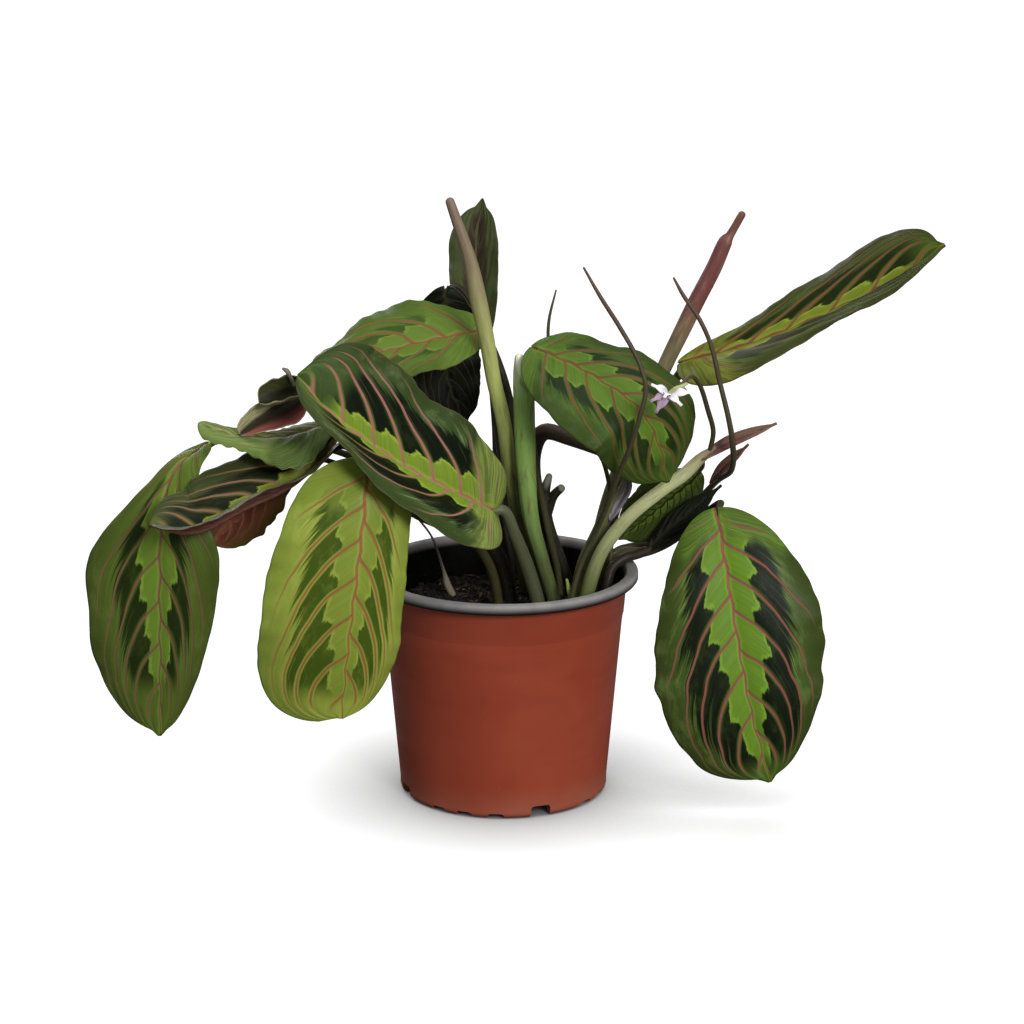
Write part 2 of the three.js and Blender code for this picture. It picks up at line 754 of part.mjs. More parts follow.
const potSegments = 48;
const footRound = 2.2;
const lipUnderside = potHeight - lipHeight;
const potProfile = [
  [0, 4.4],
  [wallFootRadius - footRound - 1.6, 4.4],
  [wallFootRadius - footRound - 1, 0],
  [wallFootRadius - footRound + 0.6, 0],
  [wallFootRadius - 0.4, footRound],
  [wallRadius(6), 6],
  [wallRadius(stepHeight), stepHeight],
  [wallRadius(stepHeight + 0.8), stepHeight + 0.8],
  [wallRadius(lipUnderside), lipUnderside],
  [lipRadius - 1, lipUnderside],
  [lipRadius, lipUnderside + 0.8],
  [lipRadius - 0.2, potHeight - 0.8],
  [lipRadius - 1, potHeight],
  [wallRadius(potHeight) + 0.6, potHeight],
  [wallRadius(potHeight) - wallThickness, potHeight - 1.6],
  [wallRadius(stepHeight) - wallThickness, stepHeight],
  [wallRadius(8) - wallThickness, 8],
  [wallRadius(8) - wallThickness - 2, floorHeight],
  [0, floorHeight],
];

// Four foot notches for drainage, and two small arches between each pair
const quarter = Math.PI / 2;
const notchTurn = THREE.MathUtils.degToRad(-69);
const archTurns = [THREE.MathUtils.degToRad(-96), THREE.MathUtils.degToRad(-114)];
let pot = lathe(potProfile, potSegments);
for (let k = 0; k < 4; k++) {
  pot = pot.subtract(footCut(notchWidth, notchHeight, notchTurn + k * quarter));
  for (const turn of archTurns) pot = pot.subtract(footCut(archWidth, archHeight, turn + k * quarter));
}

const soilSegments = 36;
const soilFoot = floorHeight + seatGap;
const soilRadius = (height) => wallRadius(height) - wallThickness - seatGap;
const soilProfile = [
  [0, soilFoot],
  [soilRadius(8) - 2.4, soilFoot],
  [soilRadius(8) - 0.2, 8.2],
  [soilRadius(60) - 0.1, 60],
  [soilRadius(80) - 0.5, 80],
  [soilRadius(80) - 1.2, soilLevel - 1.5],
  ...[45, 37, 29, 21, 13, 6].map((radius) => [radius, soilLevel]),
  [0, soilLevel],
];
const soilGeometry = new THREE.LatheGeometry(
  soilProfile.map(([radius, height]) => new THREE.Vector2(radius, height)),
  soilSegments,
);
soilGeometry.rotateX(Math.PI / 2);
const soilPoints = soilGeometry.attributes.position;
for (let i = 0; i < soilPoints.count; i++) {
  if (soilPoints.getZ(i) < soilLevel - 0.5) continue;
  const x = soilPoints.getX(i);
  const y = soilPoints.getY(i);
  const crumb = Math.sin(0.31 * x + 1.7) * Math.cos(0.27 * y) + 0.6 * Math.sin(0.73 * x - 0.61 * y);
  soilPoints.setZ(i, soilLevel + 0.9 * crumb);
}
const soil = solidFromGeometry(soilGeometry).subtract(joined(holes));

addPiece('pot', pot, terracotta, satin);
addPiece('soil', soil, earth, dull);

const plant = new THREE.Group();
for (const { name, colour, roughness } of pieces) {
  plant.add(meshFrom(name, solids.get(name), colour, roughness));
}

export default plant;
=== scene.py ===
import math
import random
from functools import partialmethod

import bpy
import numpy as np
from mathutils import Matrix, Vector, noise


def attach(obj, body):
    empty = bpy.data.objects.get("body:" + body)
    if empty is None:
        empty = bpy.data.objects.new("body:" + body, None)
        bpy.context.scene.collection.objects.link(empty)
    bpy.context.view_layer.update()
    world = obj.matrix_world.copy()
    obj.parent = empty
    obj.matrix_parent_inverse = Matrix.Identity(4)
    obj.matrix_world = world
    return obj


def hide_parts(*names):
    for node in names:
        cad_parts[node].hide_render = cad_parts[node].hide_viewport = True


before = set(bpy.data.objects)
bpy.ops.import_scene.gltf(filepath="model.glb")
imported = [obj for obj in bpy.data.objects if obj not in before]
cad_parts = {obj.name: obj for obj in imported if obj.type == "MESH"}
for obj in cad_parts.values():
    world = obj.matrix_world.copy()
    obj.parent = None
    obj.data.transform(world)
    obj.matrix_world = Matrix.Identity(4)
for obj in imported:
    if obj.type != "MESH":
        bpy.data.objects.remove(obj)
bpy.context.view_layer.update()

# Pot
# One injection-moulded nursery pot: terracotta-coloured outside, black inside and on its rolled lip.
# It is drawn as one wall from the floor over the lip to the foot, and the foot is notched for drainage.
MM = 0.001
POT_HEIGHT = 101.5
LIP_RADIUS = 60.0
LIP_UNDERSIDE = 97.1
WALL_TOP = 54.6
WALL_FOOT = 46.0
WALL = 1.4
STEP_HEIGHT = 81.0
STEP_DEPTH = 0.4


def wall_radius(height):
    step = STEP_DEPTH if height > STEP_HEIGHT else 0
    return WALL_FOOT + (WALL_TOP - WALL_FOOT) * height / LIP_UNDERSIDE + step


def rounded(middle, height, radius, start, end, count):
    """Points of a small rounded corner, from one angle to another in degrees."""
    angles = np.radians(np.linspace(start, end, count))
    return [(middle + radius * math.cos(angle), height + radius * math.sin(angle)) for angle in angles]


def select_only(piece):
    bpy.ops.object.select_all(action="DESELECT")
    piece.select_set(True)
    bpy.context.view_layer.objects.active = piece


def turn_up(name, profile, segments):
    """A round piece raised ring by ring from a disc, as on a lathe; profile is radius and height."""
    radius, height = profile[0]
    bpy.ops.mesh.primitive_circle_add(
        vertices=segments, radius=radius * MM, fill_type="NGON", location=(0, 0, height * MM)
    )
    piece = bpy.context.object
    piece.name = name
    bpy.ops.object.transform_apply(location=True, rotation=True, scale=True)
    bpy.ops.object.mode_set(mode="EDIT")
    bpy.ops.mesh.select_all(action="SELECT")
    for next_radius, next_height in profile[1:]:
        rise = (next_height - height) * MM
        bpy.ops.mesh.extrude_region_move(TRANSFORM_OT_translate={"value": (0, 0, rise)})
        growth = next_radius / radius
        bpy.ops.transform.resize(value=(growth, growth, 1), center_override=(0, 0, next_height * MM))
        radius, height = next_radius, next_height
    bpy.ops.mesh.select_all(action="SELECT")
    bpy.ops.mesh.normals_make_consistent(inside=False)
    bpy.ops.object.mode_set(mode="OBJECT")
    return piece


pot_profile = [
    (wall_radius(8) - WALL - 2, 6),
    *rounded(wall_radius(8) - WALL - 2, 8, 2, -70, 0, 5),
    (wall_radius(STEP_HEIGHT) - WALL, STEP_HEIGHT),
    (wall_radius(LIP_UNDERSIDE) - WALL, LIP_UNDERSIDE + 1),
    *rounded(wall_radius(POT_HEIGHT) + 0.7, POT_HEIGHT - 1.6, 1.6, 170, 90, 6),
    *rounded(LIP_RADIUS - 1.5, POT_HEIGHT - 1.5, 1.5, 90, 10, 6),
    (LIP_RADIUS, LIP_UNDERSIDE + 0.9),
    (LIP_RADIUS - 0.5, LIP_UNDERSIDE + 0.2),
    (LIP_RADIUS - 1.2, LIP_UNDERSIDE),
    (wall_radius(LIP_UNDERSIDE) + 0.5, LIP_UNDERSIDE),
    (wall_radius(LIP_UNDERSIDE), LIP_UNDERSIDE - 0.6),
    (wall_radius(STEP_HEIGHT + 1.6), STEP_HEIGHT + 1.6),
    (wall_radius(STEP_HEIGHT + 0.9) - 0.3, STEP_HEIGHT + 0.9),
    (wall_radius(STEP_HEIGHT + 0.3) - 0.3, STEP_HEIGHT + 0.3),
    (wall_radius(STEP_HEIGHT) + 0.1, STEP_HEIGHT - 0.2),
    (wall_radius(STEP_HEIGHT - 4), STEP_HEIGHT - 4),
    (wall_radius(40), 40),
    (wall_radius(6), 6),
    *rounded(WALL_FOOT - 2.1, 2.6, 2.6, 12, -75, 6),
    (WALL_FOOT - 3.2, 0),
    (WALL_FOOT - 3.8, 4.4),
]
pot = turn_up("pot_moulded", pot_profile, segments=192)

# The four drainage notches and the small arches between them are cut out of the foot together; each is a
# turn, a width and a height.
FOOT_CUTS = ((-69, 9.0, 5.2), (-94, 7.5, 2.3), (-112, 7.5, 2.3), (-128, 7.5, 2.3))
CUT_RADIUS = WALL_FOOT - 3
for quarter_turn in (0, 90, 180, 270):
    for turn, width, height in FOOT_CUTS:
        angle = math.radians(turn + quarter_turn)
        place = (CUT_RADIUS * math.cos(angle) * MM, CUT_RADIUS * math.sin(angle) * MM, 0)
        bpy.ops.mesh.primitive_cube_add(size=1, location=place, rotation=(0, 0, angle))
        cutter = bpy.context.object
        cutter.scale = (12 * MM, width * MM, 2 * height * MM)
        bpy.ops.object.transform_apply(location=True, rotation=True, scale=True)
        rounding = cutter.modifiers.new("rounding", "BEVEL")
        rounding.width = min(1.5, 0.8 * height) * MM
        rounding.segments = 3
        cut = pot.modifiers.new("notch", "BOOLEAN")
        cut.operation = "DIFFERENCE"
        cut.solver = "EXACT"
        cut.object = cutter
        select_only(pot)
        bpy.ops.object.modifier_apply(modifier=cut.name)
        bpy.data.objects.remove(cutter)
bpy.ops.object.shade_smooth_by_angle(angle=math.radians(38))


def paint(code):
    """Linear colour from a six-figure screen colour."""
    parts = [int(code[k : k + 2], 16) / 255 for k in (0, 2, 4)]
    return tuple(((v + 0.055) / 1.055) ** 2.4 if v > 0.04045 else v / 12.92 for v in parts) + (1.0,)


def join(socket, value):
    """Sets a socket to a number or a colour, or leads a strand into it."""
    if isinstance(value, Strand):
        value.tree.links.new(value.socket, socket)
    else:
        socket.default_value = paint(value) if isinstance(value, str) else value


def node(tree, kind, sockets, **settings):
    item = tree.nodes.new("ShaderNode" + kind)
    for name, value in settings.items():
        setattr(item, name, value)
    for key, value in sockets.items():
        join(item.inputs[key], value)
    return item


def put(tree, kind, sockets, output=0, **settings):
    return Strand(node(tree, kind, sockets, **settings).outputs[output])


class Strand:
    """A number, colour or place that runs through a shader; whatever is done with it adds a node."""

    def __init__(self, socket):
        self.socket = socket
        self.tree = socket.id_data

    def maths(self, operation, other=0.5):
        return put(self.tree, "Math", {0: self, 1: other}, operation=operation)

    __add__ = partialmethod(maths, "ADD")
    __sub__ = partialmethod(maths, "SUBTRACT")
    __mul__ = partialmethod(maths, "MULTIPLY")

    def rest(self):
        """What it lacks to one."""
        return put(self.tree, "Math", {0: 1.0, 1: self}, operation="SUBTRACT")

    def between(self, low, high, to_low=0.0, to_high=1.0):
        """Smooth step from one level to another as the number passes from low to high."""
        levels = {"Value": self, "From Min": low, "From Max": high, "To Min": to_low, "To Max": to_high}
        return put(self.tree, "MapRange", levels, interpolation_type="SMOOTHSTEP")

    def mix(self, first, second):
        """One colour giving way to another as the number goes from 0 to 1."""
        return put(self.tree, "Mix", {0: self, 6: first, 7: second}, 2, data_type="RGBA")

    def stretched(self, factors):
        return put(self.tree, "VectorMath", {0: self, 1: factors}, operation="MULTIPLY")

    def grain(self, scale, detail=4.0, roughness=0.55, distortion=0.0):
        """Noise at a place; with three scales it is stretched along the axes."""
        if isinstance(scale, tuple):
            return self.stretched(scale).grain(1.0, detail, roughness, distortion)
        sockets = {"Vector": self, "Scale": scale, "Detail": detail}
        sockets.update({"Roughness": roughness, "Distortion": distortion})
        return put(self.tree, "TexNoise", sockets)

    def parts(self):
        return [Strand(socket) for socket in node(self.tree, "SeparateXYZ", {0: self}).outputs]


def layered(colour, *layers):
    """A colour with others laid over it; each is a share, the most of it that covers, and its colour."""
    for share, most, layer in layers:
        colour = (share * most).mix(colour, layer)
    return colour


def material_named(name, attribute=None):
    """A new material, its shader, and the place its pattern follows: the object's own or an attribute."""
    material = bpy.data.materials.new(name)
    material.use_nodes = True
    tree = material.node_tree
    if attribute:
        place = put(tree, "Attribute", {}, "Vector", attribute_name=attribute)
    else:
        place = put(tree, "TexCoord", {}, "Object")
    return material, tree.nodes["Principled BSDF"], place


def surface(shader, colour, roughness, height=None, *, depth=0.3, distance=0.0004, gloss=0.5):
    """Gives the shader a colour, a roughness, a relief and the strength of its gloss."""
    join(shader.inputs["Base Color"], colour)
    join(shader.inputs["Roughness"], roughness)
    join(shader.inputs["Specular IOR Level"], gloss)
    if height:
        bump = {"Height": height, "Strength": depth, "Distance": distance}
        join(shader.inputs["Normal"], put(height.tree, "Bump", bump))


# Moulded terracotta plastic: faint flow marks round the wall, fine tooth, a few scuffs, and paler towards
# the foot.
terracotta, shader, place = material_named("terracotta_plastic")
flow = place.grain((14, 14, 90), 5)
cloud = place.grain(22, 3)
tooth = place.grain(2600, 2)
colour = layered(
    cloud.between(0.35, 0.7).mix("963f29", "9f4630"),
    (flow.between(0.45, 0.75), 0.35, "8a3823"),
    (place.grain((300, 300, 45), 3, 0.7).between(0.69, 0.8), 0.28, "b8806a"),
    (place.parts()[2].between(0.016, 0.001) * cloud, 0.5, "b07a64"),
)
rough = flow.between(0.3, 0.8, 0.42, 0.58)
relief = tooth * 0.25 + flow * 0.9
surface(shader, colour, rough, relief, depth=0.18, distance=0.0003, gloss=0.22)

# Black plastic of the inside and the lip, greyed along the rim with dust and soil and with a painted sheen.
black_plastic, shader, place = material_named("black_plastic")
dust_and_sheen = place.grain(120, 6, 0.65)
colour = layered(
    dust_and_sheen.between(0.35, 0.7).mix("050504", "0c0b0a"),
    # The grey band round the top of the lip is partly dust and partly a painted sheen.
    (place.parts()[2].between(0.0975, 0.1008), dust_and_sheen.between(0.2, 0.6, 0.75, 1.0), "8f8c8a"),
    (place.grain(900, 3).between(0.62, 0.72), 0.14, "6d6558"),
)
surface(shader, colour, dust_and_sheen.between(0.3, 0.7, 0.4, 0.58), dust_and_sheen, depth=0.12, gloss=0.06)

pot.data.materials.append(terracotta)
pot.data.materials.append(black_plastic)
for face in pot.data.polygons:
    radius = math.hypot(face.center.x, face.center.y) / MM
    height = face.center.z / MM
    inside = height > 5 and radius < wall_radius(height) - 0.5 * WALL
    lip = height > LIP_UNDERSIDE - 0.1 and radius > wall_radius(height) - WALL
    face.material_index = 1 if inside or lip else 0
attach(pot, "root")
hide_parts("pot")

# Soil
# A root ball of dark peat potting mix: a crumbly top below the lip, with clods, bark chips and bits of
# straw. The ball is raised from a disc; its top is roughened and the loose crumbs are scattered over it.
SOIL_LEVEL = 84.0
SOIL_TOP = 50.2
soil_profile = [
    (wall_radius(8) - WALL - 2.6, 6.4),
    (wall_radius(40) - WALL - 0.4, 40),
    (SOIL_TOP, 80),
    (SOIL_TOP - 0.4, SOIL_LEVEL - 1.2),
    *((radius, SOIL_LEVEL) for radius in np.linspace(SOIL_TOP - 1.5, 0.4, 44)),
]
soil = turn_up("soil_ball", soil_profile, segments=144)


def clod_height(x, y):
    """Rise of the soil's top over its level at a place, in millimetres."""
    broad = noise.fractal(Vector((x * 0.06, y * 0.06, 0.4)), 1.0, 2.0, 3)
    fine = noise.fractal(Vector((x * 0.42, y * 0.42, 3.1)), 0.8, 2.1, 4)
    return 1.1 * broad + 1.0 * fine


for vertex in soil.data.vertices:
    if vertex.co.z < (SOIL_LEVEL - 0.6) * MM:
        continue
    x, y = vertex.co.x / MM, vertex.co.y / MM
    reach = min(1.0, (SOIL_TOP - math.hypot(x, y)) / 3)
    vertex.co.z += clod_height(x, y) * reach * MM
select_only(soil)
bpy.ops.object.shade_smooth()

peat, shader, place = material_named("peat_soil")
clods = place.grain(260, 6, 0.7)
bits = place.grain(1300, 4, 0.75)
colour = clods.between(0.35, 0.68).mix("080706", "1c1712")
colour = layered(colour, (bits.between(0.66, 0.72), 0.55, "6a5a48"))
surface(shader, colour, 0.92, clods + bits, depth=1.0, distance=0.0012, gloss=0.2)
soil.data.materials.append(peat)
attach(soil, "root")
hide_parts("soil")


def piece_from(name, points, faces):
    """A mesh piece from points in millimetres and its faces."""
    mesh = bpy.data.meshes.new(name)
    mesh.from_pydata((np.asarray(points) * MM).tolist(), [], [tuple(face) for face in faces])
    mesh.update()
    piece = bpy.data.objects.new(name, mesh)
    bpy.context.scene.collection.objects.link(piece)
    return piece


bpy.ops.mesh.primitive_ico_sphere_add(subdivisions=1, radius=1)
lump = bpy.context.object
lump_corners = np.array([vertex.co for vertex in lump.data.vertices])
lump_faces = np.array([face.vertices[:] for face in lump.data.polygons])
bpy.data.objects.remove(lump)


def scattered(name, count, pick, seed):
    """Many small knobbly lumps, each squashed and turned by pick, in one mesh."""
    dice = random.Random(seed)
    points, faces = [], []
    for copy in range(count):
        middle, sizes, turn = pick(dice)
        knobbly = np.array([[dice.uniform(0.75, 1.2)] for corner in lump_corners])
        axis = Vector([dice.uniform(-1, 1) for k in range(3)]).normalized()
        spin = np.array(Vector((0, 0, 1)).rotation_difference(axis).to_matrix()) if turn is None else turn
        points.append((lump_corners * knobbly * sizes) @ spin.T + middle)
        faces.append(lump_faces + copy * len(lump_corners))
    return piece_from(name, np.vstack(points), np.vstack(faces))


def on_soil(dice, sink):
    radius = (SOIL_TOP - 2) * math.sqrt(dice.random())
    angle = dice.uniform(0, 2 * math.pi)
    x, y = radius * math.cos(angle), radius * math.sin(angle)
    return np.array((x, y, SOIL_LEVEL + clod_height(x, y) + sink))


def crumb(dice):
    size = 0.35 + 1.7 * dice.random() ** 3
    return on_soil(dice, 0.25 * size), np.array([size * dice.uniform(0.6, 1.1) for k in range(3)]), None


def chip(dice):
    turn = dice.uniform(0, math.pi)
    lean = dice.uniform(-0.3, 0.3)
    along = np.array((math.cos(turn), math.sin(turn), lean))
    along /= np.linalg.norm(along)
    side = np.cross(along, (0, 0, 1))
    side /= np.linalg.norm(side)
    axes = np.stack([along, side, np.cross(side, along)], axis=1)
    sizes = np.array((dice.uniform(1.6, 4.6), dice.uniform(0.35, 0.9), dice.uniform(0.2, 0.5)))
    return on_soil(dice, 0.5), sizes, axes


def straw(dice):
    middle, sizes, turn = chip(dice)
    return middle, np.array((dice.uniform(3, 8), 0.28, 0.24)), turn


for name, count, pick, seed, dark, pale, rough in (
    ("soil_crumbs", 2600, crumb, 4, "0f0c0a", "2c241d", 0.95),
    ("bark_chips", 110, chip, 8, "2b1d13", "5c4230", 0.85),
    ("straw_bits", 26, straw, 5, "7b6547", "b39a70", 0.7),
):
    bits = scattered(name, count, pick, seed)
    stuff, shader, place = material_named(name + "_stuff")
    mottle = place.grain(380, 4, 0.7)
    colour = mottle.between(0.35, 0.68).mix(dark, pale)
    surface(shader, colour, rough, mottle, depth=0.6, gloss=0.2)
    bits.data.materials.append(stuff)
    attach(bits, "root")

# Stalks
# The cut and living stalks, sheaths, stems and flower stalks that rise from the soil. Each is a line of
# points with a radius, from the top down, swept with round rings and closed at both ends.
def smooth_line(points, marks):
    """Places on a smooth line through the points; marks count the points and may lie between them."""
    p = np.asarray(points, float)[:, :3]
    p = np.vstack([2 * p[0] - p[1], p, 2 * p[-1] - p[-2]])
    gaps = np.maximum(np.linalg.norm(np.diff(p, axis=0), axis=1), 1e-6) ** 0.5
    marks = np.clip(np.asarray(marks, float), 0, len(p) - 3)
    span = np.minimum(marks.astype(int), len(p) - 4)
    u = (marks - span)[:, None]
    a, b, c, d = p[span], p[span + 1], p[span + 2], p[span + 3]
    before, here, after = gaps[span][:, None], gaps[span + 1][:, None], gaps[span + 2][:, None]
    leave = here * ((b - a) / before - (c - a) / (before + here) + (c - b) / here)
    arrive = here * ((c - b) / here - (d - b) / (here + after) + (d - c) / after)
    return b + leave * u + (3 * (c - b) - 2 * leave - arrive) * u**2 + (2 * (b - c) + leave + arrive) * u**3


def along(values, share):
    """Values at shares from 0 to 1, on a smooth curve through evenly spaced entries."""
    share = np.asarray(share, float)
    if np.ndim(values) == 0:
        return np.full_like(share, float(values))
    v = np.asarray(values, float)
    v = np.r_[2 * v[0] - v[1], v, 2 * v[-1] - v[-2]]
    spot = np.clip(share, 0, 1) * (len(v) - 3)
    k = np.minimum(spot.astype(int), len(v) - 4)
    u = spot - k
    a, b, c, d = v[k], v[k + 1], v[k + 2], v[k + 3]
    return 0.5 * (2 * b + (c - a) * u + (2 * a - 5 * b + 4 * c - d) * u**2 + (3 * b - 3 * c + d - a) * u**3)


def unit(vectors):
    return vectors / np.maximum(np.linalg.norm(vectors, axis=-1, keepdims=True), 1e-9)


def arc_lengths(line):
    return np.r_[0, np.cumsum(np.linalg.norm(np.diff(line, axis=0), axis=1))]


THINNEST = 0.15
RINGS_A_SPAN = 6
STALK_RIDGES = 0.02
LEAF_STALK_RIDGES = 0.015
DRIED_RIDGES = 0.3
BRACT_MESH = (40, 17)
ROUND_END = ((0.45, 0.8), (0.75, 0.35))  # how far past its end, and how thick, in radii


def tube(points, sides, ridges):
    """Points, faces and surface places of a closed tapered tube; places are turn, share and millimetres."""
    spans = len(points) - 1
    share = np.linspace(0, 1, RINGS_A_SPAN * spans + 1)
    line = smooth_line(points, share * spans)
    radii = np.maximum(along([point[3] for point in points], share), THINNEST)
    ahead = unit(np.gradient(line, axis=0))
    length = arc_lengths(line)
    side = np.zeros_like(ahead)
    carried = np.array((0.95, 0.25, 0.1))
    for k, direction in enumerate(ahead):
        carried = unit(carried - carried @ direction * direction)
        side[k] = carried
    other = np.cross(ahead, side)
    turns = np.linspace(0, 2 * math.pi, sides, endpoint=False)
    rings, places = [], []
    last = len(share) - 1
    stations = [(0, -offset, size) for offset, size in reversed(ROUND_END)]
    stations += [(k, 0.0, 1.0) for k in range(len(share))]
    stations += [(last, offset, size) for offset, size in ROUND_END]
    for k, offset, size in stations:
        swell = radii[k] * size * (1 + ridges * np.cos(7 * turns + 1.3 * math.sin(0.11 * length[k])))
        ring = line[k] + offset * radii[k] * ahead[k]
        ring = ring + np.outer(swell * np.cos(turns), side[k]) + np.outer(swell * np.sin(turns), other[k])
        rings.append(ring)
        places.append([(turn / (2 * math.pi), share[k], length[k]) for turn in turns])
    faces = []
    end = (len(rings) - 1) * sides
    for start in range(0, end, sides):
        for j in range(sides):
            a, b = start + j, start + (j + 1) % sides
            faces.append((a, b, b + sides, a + sides))
    faces += [tuple(reversed(range(sides))), tuple(range(end, end + sides))]
    return np.vstack(rings), faces, np.vstack(places)


def joined_up(name, parts, materials):
    """One smooth piece; each part is points, faces, places, materials' numbers and sometimes vein gaps."""
    faces, slots, start = [], [], 0
    for part in parts:
        faces += [tuple(start + corner for corner in face) for face in part[1]]
        slots += list(part[3]) if np.ndim(part[3]) else [part[3]] * len(part[1])
        start += len(part[0])
    piece = piece_from(name, np.vstack([part[0] for part in parts]), faces)
    piece.data.polygons.foreach_set("use_smooth", [True] * len(faces))
    piece.data.polygons.foreach_set("material_index", slots)
    places = [part[2] for part in parts]
    gaps = [part[4] if len(part) > 4 else np.zeros_like(part[0]) for part in parts]
    for label, held in (("skin_place", places), ("skin_gaps", gaps)):
        held_at = piece.data.attributes.new(label, "FLOAT_VECTOR", "POINT")
        held_at.data.foreach_set("vector", np.vstack(held).ravel())
    for material in materials:
        piece.data.materials.append(material)
    return piece


def grouped(name, **inputs):
    """An empty node group with its inputs, listed by kind, and the three outputs of a skin."""
    group = bpy.data.node_groups.new(name, "ShaderNodeTree")
    for kind, labels in inputs.items():
        for label in labels.split(", "):
            group.interface.new_socket(label, in_out="INPUT", socket_type="NodeSocket" + kind)
    for label, kind in (("Colour", "Color"), ("Roughness", "Float"), ("Height", "Float")):
        group.interface.new_socket(label, in_out="OUTPUT", socket_type="NodeSocket" + kind)
    sockets = group.nodes.new("NodeGroupInput").outputs
    taken = {socket.name: Strand(socket) for socket in sockets if socket.name}
    return group, taken, group.nodes.new("NodeGroupOutput").inputs


def skinned(name, group, codes, amounts, **finish):
    """A material shaded by a node group; colour codes and amounts fill its inputs in their order."""
    material, shader, place = material_named(name, "skin_place")
    skin = node(place.tree, "Group", {"Place": place}, node_tree=group)
    if "Gaps" in skin.inputs:
        join(skin.inputs["Gaps"], put(place.tree, "Attribute", {}, "Vector", attribute_name="skin_gaps"))
    values = {"RGBA": iter(codes.split()), "VALUE": iter(amounts)}
    for socket in skin.inputs:
        if socket.type in values:
            join(socket, next(values[socket.type]))
    colour, roughness, height = [Strand(socket) for socket in skin.outputs]
    surface(shader, colour, roughness, height, **finish)
    return material


# Skin of a stalk: a colour that runs from the top to the soil, lengthwise fibres, blotches and freckles.
stalk_skin, taken, given = grouped(
    "stalk_skin", Vector="Place", Color="Top, Middle, Foot, Streak", Float="Split, Foot At, Streaks, Mottle"
)
turn, share, reach = taken["Place"].parts()
turn = turn * (2 * math.pi)
wrapped = {"X": turn.maths("COSINE"), "Y": turn.maths("SINE"), "Z": reach * 0.02}
wrapped = put(stalk_skin, "CombineXYZ", wrapped)
fibres = wrapped.grain((7, 7, 6), 5, 0.65)
patches = wrapped.grain((0.9, 0.9, 3.0), 4, 0.6, 0.6)
share = share + (patches * 0.24 - 0.12)
colour = share.between(0.0, taken["Split"]).mix(taken["Top"], taken["Middle"])
colour = layered(
    share.between(taken["Split"], taken["Foot At"]).mix(colour, taken["Foot"]),
    (patches.between(0.5, 0.68), taken["Streaks"], taken["Streak"]),
    (fibres.between(0.62, 0.38), taken["Mottle"], (0.03, 0.025, 0.015, 1)),
    (wrapped.grain((5, 5, 90), 3).between(0.64, 0.72), 0.22, "d8d6b4"),
)
join(given["Colour"], colour)
join(given["Roughness"], fibres.between(0.3, 0.75, 0.4, 0.62))
join(given["Height"], patches * 0.5 + fibres)

# Each skin's colours (top, middle, foot, streak) and amounts (split, foot at, streaks, mottle).
skins = {}
for name, codes, *amounts in (
    ("tall_stalk_skin", "847060 b6c06c 3e4318 86705c", 0.46, 0.7, 0.3, 0.18),
    # The rolled leaf's pale top and green middle are painted light: brighter than its own colour, where the
    # leaves around it shade it.
    ("rolled_leaf_painted_light_skin", "f0f4d8 98be62 4a5230 6a463c", 0.3, 0.9, 0.45, 0.15),
    ("olive_petiole_skin", "6a7238 50501f 3a381c 4a3826", 0.3, 0.8, 0.5, 0.3),
    ("maroon_stalk_skin", "74493f 7c4744 8c8460 94806a", 0.3, 0.52, 0.4, 0.25),
    ("pale_stalk_skin", "8d7c64 d4d9a0 667038 a39a74", 0.34, 0.85, 0.45, 0.14),
    ("papery_sheath_skin", "6c6450 6f7548 848a58 4d3a2c", 0.4, 0.9, 0.5, 0.3),
    ("grey_petiole_skin", "7a6e58 62684a 4a4e34 5a4a3a", 0.25, 0.9, 0.4, 0.25),
    ("brown_stem_skin", "42342a 2c241c 201c14 4a382c", 0.4, 0.9, 0.5, 0.4),
    ("brown_stem_skin_pale", "6a5648 5a4c3e 201c14 5c4a3c", 0.35, 0.6, 0.5, 0.4),
    ("forked_stub_skin", "e0dcc8 2c2e1e 1c1a14 4a4a34", 0.16, 0.9, 0.3, 0.35),
    ("flower_stalk_skin", "5e443c 4a4230 4a4a2c 5f5240", 0.3, 0.95, 0.5, 0.35),
    ("thin_flower_stalk_skin", "5a6048 4a4a34 4a4a2c 5f5240", 0.3, 0.95, 0.4, 0.3),
    ("dried_stalk_skin", "6f675a 8c8474 7a705e b8b2a4", 0.5, 0.95, 0.6, 0.3),
    ("sprout_skin", "8fa34c a8b458 b9b26a 70803a", 0.4, 0.9, 0.4, 0.12),
    ("bract_skin", "7d5850 76504a 80604e 9a7c6e", 0.4, 0.9, 0.5, 0.25),
    ("papery_curl_skin", "9a929c 7c7478 6a6458 b8b2b8", 0.5, 0.95, 0.6, 0.3),
):
    skins[name] = skinned(name, stalk_skin, codes, amounts, depth=0.25, distance=0.0002, gloss=0.25)

BLADE_THICKNESS = 0.45
PLAIN_BLADE = dict(
    left=1, right=1, rise=12, droop=25, peak=0.48, power=2.15, wave=1.2, waves=3, phase=0, lobe=4, toe=0,
    laterals=7, quilt=0.45, frill=0.3, point=2.5, ragged=0.025,
)


def vein_number(share, a, laterals):
    """Which side vein a spot of the blade lies on: the veins leave the midrib, then arc towards the tip."""
    low, high = np.full(np.broadcast(share, a).shape, -1.5), np.ones(np.broadcast(share, a).shape)
    for step in range(24):
        start = (low + high) / 2
        bend = 1 - np.exp(-np.maximum(start, 0) / 0.2)
        met = start + 0.02 * (1 - np.exp(-a / 0.04)) + 0.1 * a + bend * (0.62 * a**2 + 0.35 * a**4)
        low, high = np.where(met < share, start, low), np.where(met < share, high, start)
    return laterals * np.sign(start) * np.abs(start) ** 0.85


